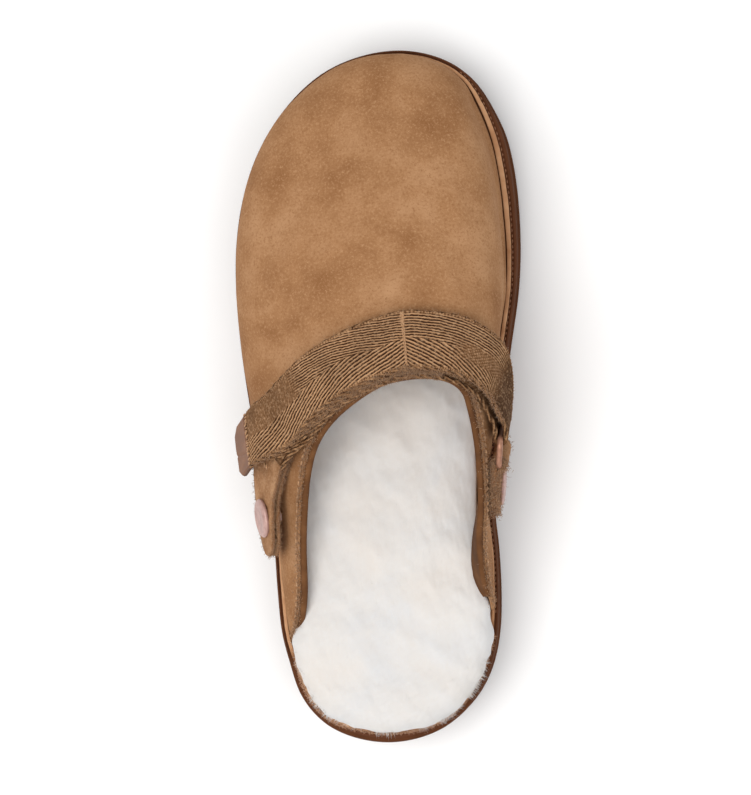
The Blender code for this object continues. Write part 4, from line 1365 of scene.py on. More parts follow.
def make_locks(name, count, low, high, length, width, seed, near_edge=None):
    roots, ways, painted_shades, edges = fur_roots(count, low, high, near_edge)
    lie = swirl(roots, 0.011, seed)
    scatter = rng.normal(0.0, 0.45, (len(roots), 3))
    outward = unit(on_floor(ways) + 1e-9)
    way = unit(ways * 0.55 + lie * 0.9 + scatter * 0.4)
    rim = near_edge is not None
    spill = (1.0 if rim else 0.1) * (edges < 0.004)
    drift = lie * 0.35 + scatter * 0.4 - ways * 0.35 + outward * spill[:, None]
    lengths = length * rng.uniform(0.6, 1.2, len(roots)) * np.where((edges < 0.003) & (not rim), 0.6, 1.0)
    roots = roots - ways * 0.0006
    piece = hairs(name, roots, way, drift, lengths, width, WOOL, steps=2)
    # Painted shade on the locks, taken from the pile's hollows and a little lighter
    set_values(piece.data, "depth", np.repeat(np.clip(painted_shades - 0.15, 0.0, 1.0), HAIR_POINTS))
    return piece


# Upper, facing and their stitches

RIB_COUNT = len(UPPER_RIBS) - 1
RIBS_FINE = RIB_COUNT * 14 + 1
SHARES_FINE = 150
SUEDE_THICK = 0.0014
SETBACK = 0.0024
FACING_DEPTH = 0.0120


def fine_upper():
    shares = np.linspace(0.0, 1.0, SHARES_FINE + 1)[:, None]
    rest = 1.0 - shares
    weights = np.concatenate([rest ** 3, 3 * shares * rest ** 2, 3 * shares ** 2 * rest, shares ** 3], axis=1)
    rows = []
    for index in np.linspace(0.0, RIB_COUNT, RIBS_FINE):
        rows.append(weights @ np.array([tuple(p) for p in upper_rib(index)]))
    return np.array(rows)


WALL_GRID = fine_upper()
WALL_WAYS = grid_ways(WALL_GRID)
WALL_LENGTHS = arc_lengths(WALL_GRID)
WALL_HEIGHTS = WALL_LENGTHS[:, -1]
RIB_PLACES = np.linspace(0.0, RIB_COUNT, RIBS_FINE)

# Soft troughs and ridges of the vamp. x, y: middle in metres; turn: degrees from the toe's direction to the
# medial side; length, width: metres; rise: metres, below 0 for a trough
CREASES = (
    (-0.030, 0.150, 18.0, 0.050, 0.010, -0.00045),
    (0.026, 0.160, -22.0, 0.055, 0.010, -0.00040),
    (-0.008, 0.128, 80.0, 0.045, 0.009, -0.00040),
    (0.004, 0.142, 86.0, 0.050, 0.008, 0.00030),
    (-0.006, 0.196, 70.0, 0.040, 0.012, -0.00030),
    (-0.038, 0.118, -8.0, 0.030, 0.008, -0.00045),
    (0.034, 0.122, 6.0, 0.030, 0.008, -0.00045),
)


def soft_dents(points):
    rise = 0.00025 * soft_noise(points, 0.030, seed=41, octaves=2)
    for x, y, turn, length, width, height in CREASES:
        angle = math.radians(turn)
        dx, dy = points[..., 0] - x, points[..., 1] - y
        along = dy * math.cos(angle) + dx * math.sin(angle)
        across = dx * math.cos(angle) - dy * math.sin(angle)
        rise = rise + height * np.exp(-(along / length * 2.0) ** 2 - (across / width * 2.0) ** 2)
    return rise


# How far the vamp swells out over its foot. around: place round the sole; swell: metres
SWELLS = (
    (0.25, 0.0000),
    (0.36, 0.0004),
    (0.46, 0.0014),
    (0.56, 0.0024),
    (0.80, 0.0026),
    (1.02, 0.0018),
    (1.10, 0.0000),
    (1.18, -0.0022),
    (1.30, -0.0022),
    (1.44, -0.0016),
    (1.56, -0.0007),
    (1.64, 0.0000),
    (1.71, 0.0000),
)
SWELL_FULL = 0.007
SWELL_END = 0.036


def swell_at(places):
    """Outward swell of the wall for each rib and distance up from its foot."""
    around_at = np.interp(RIB_PLACES, np.arange(len(UPPER_RIBS)), column(UPPER_RIBS, 0))
    swell = np.interp(around_at, column(SWELLS, 0), column(SWELLS, 1))
    fall = ease_array((places - SWELL_FULL) / (SWELL_END - SWELL_FULL))
    up = ease_array(places / SWELL_FULL) * (1.0 - fall)
    return swell[:, None] * up


def wall_points(places, offsets):
    """Points of every rib: distance up from its foot, which may run past the edge, and offset outwards."""
    past = np.maximum(places - WALL_HEIGHTS[:, None], 0.0)
    points = sample_rows(WALL_LENGTHS, WALL_GRID, places)
    ways = unit(sample_rows(WALL_LENGTHS, WALL_WAYS, places))
    tip = unit(WALL_GRID[:, -1] - WALL_GRID[:, -4])
    return points + ways * offsets[..., None] + tip[:, None] * past[..., None]


# Steps up the suede's outside and down its inside, and the width of the painted shade line at its foot
UPPER_STEPS = 100
LINING_STEPS = 36
FOOT_SHADE = 0.0016


def make_upper():
    shares = np.linspace(0.0, 1.0, UPPER_STEPS) ** 0.9
    outer_end = WALL_HEIGHTS - SETBACK
    places = shares[None, :] * outer_end[:, None]
    surface = wall_points(places, np.zeros_like(places))
    dents = soft_dents(surface)
    foot = -0.0004 * np.exp(-places / 0.0015) + 0.0003 * np.exp(-((places - 0.004) / 0.002) ** 2)
    fade = np.clip((outer_end[:, None] - places) / 0.01, 0.0, 1.0)
    outer = wall_points(places, dents * fade + foot + swell_at(places) * fade)
    ragged = 0.00025 * soft_noise(WALL_GRID[:, -1], 0.003, seed=43, octaves=3)
    lip_places = outer_end[:, None] + np.array((0.00025, 0.0004, 0.0003, 0.0))[None] + ragged[:, None]
    lip_offsets = np.broadcast_to(np.array((-0.0002, -0.0006, -0.0010, -0.0013))[None], lip_places.shape)
    lip = wall_points(lip_places, lip_offsets)
    inner_shares = np.linspace(1.0, 0.0, LINING_STEPS)
    inner_places = inner_shares[None, :] * (outer_end - 0.0002)[:, None]
    below = np.clip((outer_end[:, None] - inner_places - (FACING_DEPTH - 0.004)) / 0.004, 0.0, 1.0)
    inner = wall_points(inner_places, -(SUEDE_THICK + (WALL - SUEDE_THICK) * below))
    grid = np.concatenate([outer, lip, inner], axis=1)
    edge = np.zeros(grid.shape[:2])
    # Painted shade: the edge value fades from 1 at the suede's foot, darkening its crease against the welt
    edge[:, :UPPER_STEPS] = np.exp(-places / FOOT_SHADE)
    return loop_grid("upper_suede", grid, SUEDE, attributes={"edge": edge})


# Inner facing along the collar. rib: number of the rib; show: how far it stands past the suede's edge;
# lean: how far its lower edge stands in from the wall, both in metres
FACING_SHOW = (
    (0.45, 0.0012, 0.0012),
    (1.0, 0.0020, 0.0034),
    (2.0, 0.0024, 0.0042),
    (3.0, 0.0024, 0.0028),
    (4.0, 0.0024, 0.0014),
    (6.0, 0.0024, 0.0006),
    (9.0, 0.0024, 0.0004),
    (14.0, 0.0024, 0.0004),
    (17.0, 0.0024, 0.0006),
    (18.0, 0.0024, 0.0020),
    (19.0, 0.0024, 0.0042),
    (19.7, 0.0024, 0.0050),
    (20.3, 0.0018, 0.0036),
    (20.6, 0.0010, 0.0016),
)


def make_facing():
    lean = curve(column(FACING_SHOW, 0), column(FACING_SHOW, 2), level=True)
    show = curve(column(FACING_SHOW, 0), column(FACING_SHOW, 1), level=True)
    first, last = FACING_SHOW[0][0], FACING_SHOW[-1][0]
    rows = (RIB_PLACES >= first) & (RIB_PLACES <= last)
    leans = np.array([lean(r) for r in RIB_PLACES])
    shows = np.array([show(r) for r in RIB_PLACES])
    ends = np.minimum(RIB_PLACES - first, last - RIB_PLACES)
    depth = FACING_DEPTH * np.sqrt(np.clip(ends / 0.9, 0.02, 1.0))
    depth = np.minimum(depth, WALL_HEIGHTS - 0.003)
    rest = SETBACK - shows
    grid = []
    for share in np.linspace(1.0, 0.0, 14):
        place = WALL_HEIGHTS - rest - 0.0006 - share * depth
        grid.append((place, -WALL - 0.0001 - leans * share ** 0.8))
    crest = ((0.0000, -0.0026), (0.0004, -0.0021), (0.0005, -0.0014), (0.0003, -0.0008), (-0.0004, -0.0004))
    for ahead, offset in crest:
        grid.append((WALL_HEIGHTS - rest + ahead, np.full(len(leans), offset)))
    grid.append((WALL_HEIGHTS - SETBACK + 0.0004, np.full(len(leans), -0.0006)))
    grid.append((WALL_HEIGHTS - SETBACK - 0.0012, np.full(len(leans), -0.0012)))
    for share in (0.5, 1.0):
        place = WALL_HEIGHTS - rest - 0.0006 - share * depth
        grid.append((place, -SUEDE_THICK - leans * share ** 0.8 - 0.0003))
    places = np.stack([g[0] for g in grid], axis=1)
    offsets = np.stack([np.broadcast_to(g[1], leans.shape) for g in grid], axis=1)
    points = wall_points(places, offsets)[rows]
    return loop_grid("collar_facing", points, FACING, flip=True)


def wall_line(setback, offset, first=0.0, last=RIB_COUNT):
    """Line along the collar at a distance below its edge, with its outward directions."""
    rows = (RIB_PLACES >= first) & (RIB_PLACES <= last)
    places = (WALL_HEIGHTS - setback)[:, None]
    line = wall_points(places, np.full_like(places, offset))[:, 0]
    ways = unit(sample_rows(WALL_LENGTHS, WALL_WAYS, places))[:, 0]
    return line[rows], ways[rows]


def make_collar_stitches():
    line, ways = wall_line(SETBACK + 0.0012, 0.0003, 0.2, 20.8)
    return stitch_row("collar_stitches", line, ways, 0.0021, 0.00042)


def edge_fuzz(name, line, outs, ups, count, length, width, material=FUZZ, spread=0.0004):
    """Short fibres along a cut edge, leaning out of it."""
    spots = rng.uniform(0.0, len(line) - 1.001, count)
    index = spots.astype(int)
    part = (spots - index)[:, None]
    roots = line[index] * (1.0 - part) + line[index + 1] * part
    roots = roots + rng.normal(0.0, spread, (count, 3))
    way = outs[index] * rng.uniform(0.2, 1.0, (count, 1)) + ups[index] * rng.uniform(-0.6, 0.8, (count, 1))
    way = unit(way + rng.normal(0.0, 0.5, (count, 3)))
    drift = rng.normal(0.0, 0.4, (count, 3))
    tones = rng.uniform(0.0, 0.9, count)
    return hairs(name, roots, way, drift, length * rng.uniform(0.5, 1.3, count), width,
                 material, tones=tones, steps=2)


def make_collar_fuzz():
    line, ways = wall_line(SETBACK - 0.0002, -0.0003, 0.1, 20.9)
    tips = unit(WALL_GRID[:, -1] - WALL_GRID[:, -4])
    rows = (RIB_PLACES >= 0.1) & (RIB_PLACES <= 20.9)
    return edge_fuzz("collar_fuzz", line, tips[rows], ways, 7500, 0.0010, 0.00012, spread=0.0008)


def make_skin_fuzz():
    """Fibres of the footbed's raw edge round the heel."""
    rows = np.nonzero(HEEL_SHARES > 0.9)[0]
    rows = np.concatenate([rows[rows >= HALF_AROUND], rows[rows < HALF_AROUND]])
    ring = edge_ring(wide_insets(BOARD_CLEARANCE) - overhang(2))
    ring[:, 2] = top_at(ring[:, 1]) + GAP + BOARD_THICK * 0.9
    ups = upward(len(rows))
    return edge_fuzz("footbed_fuzz", ring[rows], EDGE_WAYS[rows], ups,
                     2600, 0.0007, 0.00010, SKIN_FUZZ, 0.0003)


# Tape, closure, label, ring, tabs and rivets

TREE = surface_tree()
STRAP = Strap(TREE)
UPPER_LOW = TAPE_THICK + FOLD_RISE
UPPER_HIGH = UPPER_LOW + TAPE_THICK


class Ribbon:
    """Strip through space: for each station its outer face's middle, outward and sideways directions."""

    def __init__(self, stations, step):
        places, outs, sides = (np.array([tuple(s[i]) for s in stations]) for i in range(3))
        extra = np.array([s[3] for s in stations], float)
        gaps = np.linalg.norm(np.diff(places, axis=0), axis=1)
        keep = np.concatenate([[True], gaps > 1e-5])
        places, outs, sides, extra = places[keep], outs[keep], sides[keep], extra[keep]
        self.knots = line_lengths(places)
        self.length = self.knots[-1]
        count = int(self.length / step) + 1
        self.spots = np.linspace(0.0, self.length, count)
        self.places = self.through(places)
        self.outs = unit(self.through(outs))
        sides = self.through(sides)
        self.sides = unit(sides - self.outs * np.sum(sides * self.outs, axis=1, keepdims=True))
        self.thick = self.through(extra[:, None])[:, 0]

    def through(self, values):
        lines = [curve(self.knots, values[:, axis]) for axis in range(values.shape[1])]
        return np.array([[line(spot) for line in lines] for spot in self.spots])

    def points(self, across, offset):
        """Grid of points; across and offset are metres for each row and column."""
        shift = self.sides[:, None] * across[..., None]
        return self.places[:, None] + shift + self.outs[:, None] * offset[..., None]


def layer_stations(stations, top):
    """Ribbon stations on a layer's upper face, or its underside turned over."""
    result = []
    for frame, _, low, high in stations:
        if top:
            result.append((frame.at(0.0, high), frame.out, frame.side, high - low))
        else:
            result.append((frame.at(0.0, low), -frame.out, frame.side, high - low))
    return result


def fold_stations(bar, way, inner, thick, start, end, steps=10):
    """Stations round a bar from one turn to another; 0 is over the bar and 180 under it."""
    result = []
    for k in range(steps + 1):
        angle = math.radians(start + (end - start) * k / steps)
        out = bar.out * math.cos(angle) + bar.run * (way * math.sin(angle))
        result.append((bar.place + out * (inner + thick), out, bar.side, thick))
    return result


YARN_PITCH = 0.00075
SEAM_WIDTH = 0.0005
SELVAGE_WIDTH = 0.0012
SELVAGE_PITCH = 0.0011
# Rib value of a strip's sides and underside; the suede tabs read it as their edge value, which puts painted
# shade on their sides and underside
SIDE_VALUE = 0.42


def strip_solid(name, ribbon, halves, columns, material, relief=None, under=8, value="rib", flip=False):
    """Closed strip with rounded sides; relief gives height and rib value over its outer face."""
    halves = np.broadcast_to(halves, ribbon.spots.shape)
    shares = np.linspace(-1.0, 1.0, columns)
    across = halves[:, None] * shares[None, :]
    height = np.zeros_like(across)
    values = np.full_like(across, 0.5)
    if relief is not None:
        height, values = relief(ribbon.spots[:, None] + 0.0 * across, across, halves[:, None])
    thick = ribbon.thick[:, None]
    sides = []
    for turn in (35.0, 90.0, 145.0):
        angle = math.radians(turn)
        sides.append((math.sin(angle) * 0.5, 0.5 - 0.5 * math.cos(angle)))
    right = np.concatenate([halves[:, None] + thick * out * 0.5 for out, _ in sides], axis=1)
    right_deep = np.concatenate([-thick * deep for _, deep in sides], axis=1)
    below = halves[:, None] * np.linspace(1.0, -1.0, under)[None, :]
    all_across = np.concatenate([across, right, below, -right[:, ::-1]], axis=1)
    all_height = np.concatenate([height, right_deep, -thick + 0.0 * below, right_deep[:, ::-1]], axis=1)
    rest = np.zeros((len(ribbon.spots), all_across.shape[1] - columns)) + SIDE_VALUE
    all_values = np.concatenate([values, rest], axis=1)
    grid = ribbon.points(all_across, all_height)
    return loop_grid(name, grid, material, flip=flip, attributes={value: all_values})


# The herringbone: pitches in metres, lean of the ribs off the tape's run in degrees
RIB_DEPTH = 0.00055
BOLD_PITCH = 0.00128
FINE_PITCH = 0.00100
BOLD_LEAN = 17.0
FINE_LEAN = 11.0
TWILL_PITCH = 0.00085
TWILL_LEAN = 42.0


def waves(along, across, lean, pitch):
    angle = math.radians(lean)
    phase = (across * math.cos(angle) + along * math.sin(angle)) / pitch
    return 0.5 + 0.5 * np.cos(2.0 * math.pi * phase)


def herringbone(spots, across, halves):
    """Rib heights over the tape, mirrored on the two sides of its cross seam."""
    seam = STRAP_SEAM
    flat = flat_points(spots, across)
    wander = 0.0003 * np.sin(spots * 190.0) + 0.0003 * np.sin(spots * 71.0 + 1.0)
    wander = wander + 0.00020 * soft_noise(flat, 0.0070, seed=51)
    wander = wander + 0.00010 * soft_noise(flat, 0.0022, seed=52)
    along = np.abs(spots - seam)
    medial = ease_array((spots - seam) / 0.0004)
    toe = across * TOE_SIDE + wander
    bold = waves(along, toe, BOLD_LEAN, BOLD_PITCH)
    fine = waves(along, toe, -FINE_LEAN, FINE_PITCH)
    twill = waves(along, toe, TWILL_LEAN, TWILL_PITCH)
    far = ease_array((along - 0.042) / 0.010)
    toe_lateral = fine * (1.0 - far) + (0.35 + 0.35 * twill) * far
    centre = 0.0010 * np.sin(spots * 330.0) * 0.25
    half_lateral = ease_array((toe - centre) / 0.0007 + 0.5)
    lateral = bold * (1.0 - half_lateral) + toe_lateral * half_lateral
    bold_medial = waves(along, toe, 2.0, FINE_PITCH * 1.08)
    slant_medial = waves(along, toe, BOLD_LEAN + 6.0, BOLD_PITCH)
    mesh = 0.50 + 0.40 * waves(along, toe, 52.0, 0.0010) * waves(along, toe, -30.0, 0.0011)
    mesh_share = ease_array((along - 0.016) / 0.012) * ease_array((0.0048 - np.abs(toe + 0.001)) / 0.003)
    toe_share = ease_array((toe - 0.001 + 0.10 * along) / 0.0008 + 0.5)
    right = slant_medial * (1.0 - toe_share) + bold_medial * toe_share
    right = right * (1.0 - mesh_share) + mesh * mesh_share
    # Painted shade: far down the medial side the pattern flattens towards a low rib value, lowering the ribs
    # and colouring the tape dark there
    far_side = ease_array((along - 0.040) / 0.012)
    right = right * (1.0 - 0.7 * far_side) + 0.16 * 0.7 * far_side
    pattern = lateral * (1.0 - medial) + right * medial
    yarn = 0.5 + 0.5 * np.sin(2.0 * math.pi * (along / YARN_PITCH + 2.0 * across / BOLD_PITCH))
    pattern = pattern * (0.78 + 0.22 * yarn) * (1.0 + 0.16 * soft_noise(flat, 0.0016, seed=53))
    seam_share = np.exp(-((spots - seam) / SEAM_WIDTH) ** 2)
    pattern = pattern * (1.0 - seam_share) + 0.80 * seam_share
    border = ease_array((halves - np.abs(across)) / SELVAGE_WIDTH)
    selvage = 0.55 + 0.25 * np.sin(2.0 * math.pi * along / SELVAGE_PITCH)
    # Rib values: through the webbing ramp they colour the grooves with painted shade and the ribs' backs with
    # painted light
    values = pattern * border + selvage * (1.0 - border)
    rise = RIB_DEPTH * (np.power(np.clip(values, 0.0, 1.0), 0.8) - 0.7) + 0.0001 * seam_share
    loose = 0.00018 * np.sin(spots * 140.0 + across * 90.0)
    return rise + loose, values


def tape_layer(layer, start):
    """Stations of the tape's low or top layer, or of the closure in the middle between them."""
    if layer == "low":
        return STRAP.layer(STRAP.lower, STRAP.lower_lengths, start, 0.0, TAPE_THICK, TAPE_START + TAB_LAP)
    low, high = UPPER_LOW, UPPER_HIGH
    if layer == "middle":
        low, high = TAPE_THICK + GAP, TAPE_THICK + FOLD_RISE - GAP
    return STRAP.layer(STRAP.top, STRAP.top_lengths, start, low, high, TAB_LAP, END_REST)


TOE_SIDE = 1.0 if STRAP.top[len(STRAP.top) // 2].side.y > 0.0 else -1.0
TOP_STATIONS = tape_layer("top", 0.0)
FRONT_BAR = STRAP.front.moved(0.0, BAR_OFF)
REAR_BAR = STRAP.rear.moved(0.0, BAR_OFF)
TOP_RIBBON = Ribbon(
    layer_stations(TOP_STATIONS, True)
    + fold_stations(FRONT_BAR, 1.0, FOLD_INNER, TAPE_THICK, 0.0, 60.0, 5)[1:], 0.00032)
# Cross seam of the tape: how far it lies from the middle plane of the shoe, and its place along the tape
SEAM_SIDE = 0.0090
STRAP_SEAM = float(TOP_RIBBON.spots[np.argmin(np.abs(TOP_RIBBON.places[:, 0] - SEAM_SIDE))])


def make_strap_top():
    return strip_solid("strap_top", TOP_RIBBON, TAPE_WIDTH / 2.0, 136, WEBBING, herringbone, under=12)


def make_strap_lower():
    lower = tape_layer("low", TAPE_START)
    stations = fold_stations(FRONT_BAR, 1.0, FOLD_INNER, TAPE_THICK, 55.0, 180.0, 12)
    stations += layer_stations(lower[::-1], False)[1:]
    ribbon = Ribbon(stations, 0.0007)

    def rope(spots, across, halves):
        values = waves(spots, across, 20.0, BOLD_PITCH)
        return -0.0002 * values, values

    return strip_solid("strap_lower", ribbon, TAPE_WIDTH / 2.0, 64, TAPE_EDGE, rope, under=24)


# How far the patch's sides lie in from the tape's toward the ring, metres
PATCH_TUCK = 0.0040


def make_closure():
    stations = tape_layer("middle", PATCH_START)[:-PATCH_END_STATIONS]
    ribbon = Ribbon(layer_stations(stations, True), 0.0007)

    def tangle(spots, across, halves):
        points = flat_points(spots, across)
        values = 0.5 + 0.5 * soft_noise(points, 0.0012, seed=5, octaves=2)
        return 0.0 * values, values

    tuck = PATCH_TUCK * ease_array((ribbon.spots - ribbon.length * 0.5) / (ribbon.length * 0.3))
    return strip_solid("closure_patch", ribbon, TAPE_WIDTH / 2.0 - PATCH_EDGE * 0.6 - tuck, 40, HOOKS, tangle)


ROPE_FACETS = 12
ROPE_TWIST = 0.0046
# Stations over which a rope comes in at the ring
ROPE_END_STATIONS = 15
# Ropes of yarn along the edges. layer; side: 1 toe, -1 heel; past: how far out of the tape's edge;
# rise: over the layer's middle; radius; start: from the tape's end, all in metres
ROPES = (
    ("top", 1, 0.0001, 0.0000, 0.00062, 0.000),
    ("top", -1, 0.0002, 0.0000, 0.00074, 0.000),
    ("middle", 1, -0.0003, 0.0000, 0.00085, PATCH_START),
    ("middle", -1, 0.0007, 0.0006, 0.00080, 0.007),
    ("middle", -1, 0.0012, -0.0008, 0.00085, 0.012),
    ("low", 1, 0.0001, 0.0000, 0.00070, TAPE_START),
    ("low", -1, 0.0019, 0.0002, 0.00080, TAPE_START),
)


def make_tape_edges():
    """Ropes of yarn along the edges of the tape and the closure."""
    pieces = []
    for number, (layer, side, past, rise, radius, start) in enumerate(ROPES):
        reach = side * TOE_SIDE * (TAPE_WIDTH / 2.0 + past)
        points = []
        stations = tape_layer(layer, start)
        if layer == "middle":
            stations = stations[:-ROPE_END_STATIONS]
        for k, (f, _, a, b) in enumerate(stations):
            from_end = len(stations) - 1 - k
            tuck = past * (1.0 - ease(from_end / ROPE_END_STATIONS)) if past > 0.0 else 0.0
            across = reach - side * TOE_SIDE * tuck
            points.append((f.at(across, (a + b) / 2.0 + rise), f.out, f.side, 0.001))
        ribbon = Ribbon(points, 0.00045)
        turns = circle(ROPE_FACETS)
        twist = ribbon.spots[:, None] / ROPE_TWIST * 2.0 * math.pi * side
        lobes = 1.0 + 0.20 * np.cos(3.0 * (turns[None] + twist / 3.0))
        draw = soft_noise(ribbon.places, 0.004, seed=60 + number, octaves=2)[:, None]
        size = radius * lobes * (1.0 + 0.18 * draw)
        grid = ribbon.points(np.cos(turns)[None] * size, np.sin(turns)[None] * size)
        fleck = soft_noise(grid, 0.0016, seed=80 + number)
        # Rib values: lighter on the rope's lobes and darker between them, painted light and shade through the
        # webbing ramp, with random flecks
        values = 0.45 + (lobes - 1.0) * 1.6 + 0.30 * fleck
        pieces.append(loop_grid("tape_edge_%d" % number, grid, TAPE_EDGE, attributes={"rib": values}))
    return pieces


# Rows of loose yarn on each edge of the tape. deep: below its face; past: out of the heelward edge, both in
# metres; first, last: share of the tape's length
TAPE_FUZZ = (
    (0.0006, 0.0002, 0.02, 0.93),
    (0.0024, 0.0009, 0.2, 0.64),
    (0.0044, 0.0016, 0.2, 0.64),
)
HEELWARD_YARNS = 2600
TOEWARD_YARNS = 300


def make_tape_fuzz():
    """Loose yarn ends along the tape's two edges."""
    pieces = []
    ribbon = TOP_RIBBON
    for number, side in enumerate((-1.0, 1.0)):
        heelward = side * TOE_SIDE < 0.0
        for layer, (deep, past, first, last) in enumerate(TAPE_FUZZ):
            reach = TAPE_WIDTH / 2.0 + (past if heelward else 0.0)
            line = ribbon.places + ribbon.sides * side * reach - ribbon.outs * deep
            part = slice(int(len(line) * first), int(len(line) * last))
            pieces.append(edge_fuzz(
                "tape_fuzz_%d%d" % (number, layer), line[part], (ribbon.sides * side)[part], ribbon.outs[part],
                HEELWARD_YARNS if heelward else TOEWARD_YARNS, 0.0012, 0.00010, spread=0.00040,
            ))
    return pieces


def make_seam_stitches():
    """The tape's cross seam: two rows of pale stitches."""
    pieces = []
    for number, shift in enumerate((-0.0004, 0.0004)):
        row = int(np.argmin(np.abs(TOP_RIBBON.spots - STRAP_SEAM - shift)))
        across = np.linspace(-TAPE_WIDTH / 2.0 + 0.0006, TAPE_WIDTH / 2.0 - 0.0006, 60)
        line = (TOP_RIBBON.places[row] + TOP_RIBBON.sides[row] * across[:, None]
                + TOP_RIBBON.outs[row] * 0.0001)
        ups = np.tile(TOP_RIBBON.outs[row], (60, 1))
        name = "seam_stitches_%d" % number
        pieces.append(stitch_row(name, line, ups, 0.0015, 0.00022, 0.0017, lift=0.0001))
    return pieces


END_STITCHES = 24


def make_end_stitches():
    """Close overlocking across the tape's end by the label."""
    count = END_STITCHES
    across = np.linspace(-TAPE_WIDTH / 2.0 + 0.0004, TAPE_WIDTH / 2.0 - 0.0004, count)
    ribbon = TOP_RIBBON
    starts = ribbon.places[0] + ribbon.sides[0] * across[:, None] + ribbon.outs[0] * 0.0002
    runs = unit(ribbon.places[4] - ribbon.places[0])
    starts = starts - runs * 0.0004 + rng.normal(0.0, 0.00012, (count, 3))
    ways = runs + ribbon.sides[0] * rng.normal(0.0, 0.2, (count, 1))
    outs = np.tile(ribbon.outs[0], (count, 1))
    return tubes("end_stitches", starts, ways, outs, 0.0024 * rng.uniform(0.8, 1.1, count), 0.00034, THREAD,
                 bend=0.10, tones=rng.uniform(0.2, 0.8, count))


LABEL_ROWS = 44
LABEL_COLUMNS = 56
LABEL_ROUND = 0.0007
# Fold across the label's corner: depth and width of its crease, then how far and over what width the face tilts
CREASE_DEPTH = 0.0003
CREASE_WIDTH = 0.0005
TILT_RISE = 0.00035
TILT_WIDTH = 0.004


def make_label():
    """Pull tab with rounded edges and a shallow fold across one corner."""
    frame = STRAP.top[0]
    base = STRAP.base(-TAB_LAP, STRAP.top_lengths[-1], END_REST)
    middle = base + 1.5 * TAPE_THICK + FOLD_RISE
    half = TAPE_WIDTH / 2.0
    behind = np.linspace(GAP, LABEL_LENGTH, LABEL_ROWS)
    cut = np.clip(behind - (LABEL_LENGTH - LABEL_CHAMFER), 0.0, None)
    halves = half - cut
    across = halves[:, None] * np.linspace(-1.0, 1.0, LABEL_COLUMNS)[None]
    edge = np.minimum(halves[:, None] - np.abs(across), (LABEL_LENGTH - behind)[:, None])
    edge = np.clip(edge / LABEL_ROUND, 0.0, 1.0)
    round_off = 1.0 - np.sqrt(1.0 - (1.0 - edge) ** 2)
    thick = LABEL_THICK / 2.0
    fold = across - (behind[:, None] - LABEL_LENGTH * 0.5) * 0.35 + half * 0.28
    crease = -CREASE_DEPTH * np.exp(-(fold / CREASE_WIDTH) ** 2)
    tilt = TILT_RISE * np.tanh(fold / TILT_WIDTH)
    top = middle + thick * (1.0 - round_off) + crease + tilt
    bottom = middle - thick * (1.0 - round_off) + tilt
    grid_top, grid_low = (
        np.array([[tuple(frame.at(a, h, -b)) for a, h in zip(line, heights)]
                  for line, heights, b in zip(across, face, behind)])
        for face in (top, bottom))
    grid = np.concatenate([grid_top, grid_low[:, ::-1]], axis=1)
    return loop_grid("label_patch", grid, LABEL, flip=True)


RING_FACETS = 20
RING_CORNER_STEPS = 12


def make_ring():
    frame = STRAP.ring.moved(0.0, BAR_OFF)
    half_side = TAPE_WIDTH / 2.0 + RING_PLAY + ROD_RADIUS
    half_run = RING_GAP / 2.0 + ROD_RADIUS
    turns = circle(RING_FACETS)
    rows = []
    for number, (side, run) in enumerate(((1, 1), (-1, 1), (-1, -1), (1, -1))):
        for k in range(RING_CORNER_STEPS + 1):
            angle = math.pi / 2.0 * (number + k / RING_CORNER_STEPS)
            cos, sin = math.cos(angle), math.sin(angle)
            across = side * (half_side - RING_CORNER) + RING_CORNER * cos
            ahead = run * (half_run - RING_CORNER) + RING_CORNER * sin
            rows.append([tuple(frame.at(across + cos * ROD_RADIUS * math.cos(t), ROD_RADIUS * math.sin(t),
                                        ahead + sin * ROD_RADIUS * math.cos(t))) for t in turns])
    return loop_grid("ring_rod", np.array(rows), ROSE, closed_rows=True)


def tip_halves(spots, length_to_tip):
    radius = TAB_WIDTH / 2.0
    left = np.clip(length_to_tip - spots, 0.0, None)
    inside = np.clip(1.0 - left / radius, 0.0, 1.0)
    return radius * np.sqrt(np.clip(1.0 - inside ** 2, 0.0004, 1.0))


TAB_STEPS = 15
# Thickness of a tab's leaf on each side of the shoe
LEAF = TAB_THICK - 0.0001
MEDIAL_LEAF = TAB_THICK + 0.0007
# How far in from a tab's side its suede bends down
SUEDE_FALL = 0.0016


def suede_relief(puff, seed):
    """Soft face of a leaf of suede that bends down at its sides."""
    def soft(spots, across, half):
        fall = np.clip((half - np.abs(across)) / SUEDE_FALL, 0.0, 1.0)
        swell = puff * soft_noise(flat_points(spots, across), 0.008, seed=seed)
        return swell - 0.0003 * (1.0 - fall) ** 2, 0.0 * spots

    return soft


def tab_fuzz(name, ribbon, halves, counts, length, width, spread):
    """Fibres along both sides of a tab, with a count for each side."""
    pieces = []
    middle = np.full((len(halves), 1), -LEAF / 2.0)
    for number, side in enumerate((-1.0, 1.0)):
        line = ribbon.points(side * (halves + 0.0002)[:, None], middle)[:, 0]
        pieces.append(edge_fuzz(name + str(number), line, ribbon.sides * side, ribbon.outs,
                                counts[number], length, width, spread=spread))
    return pieces


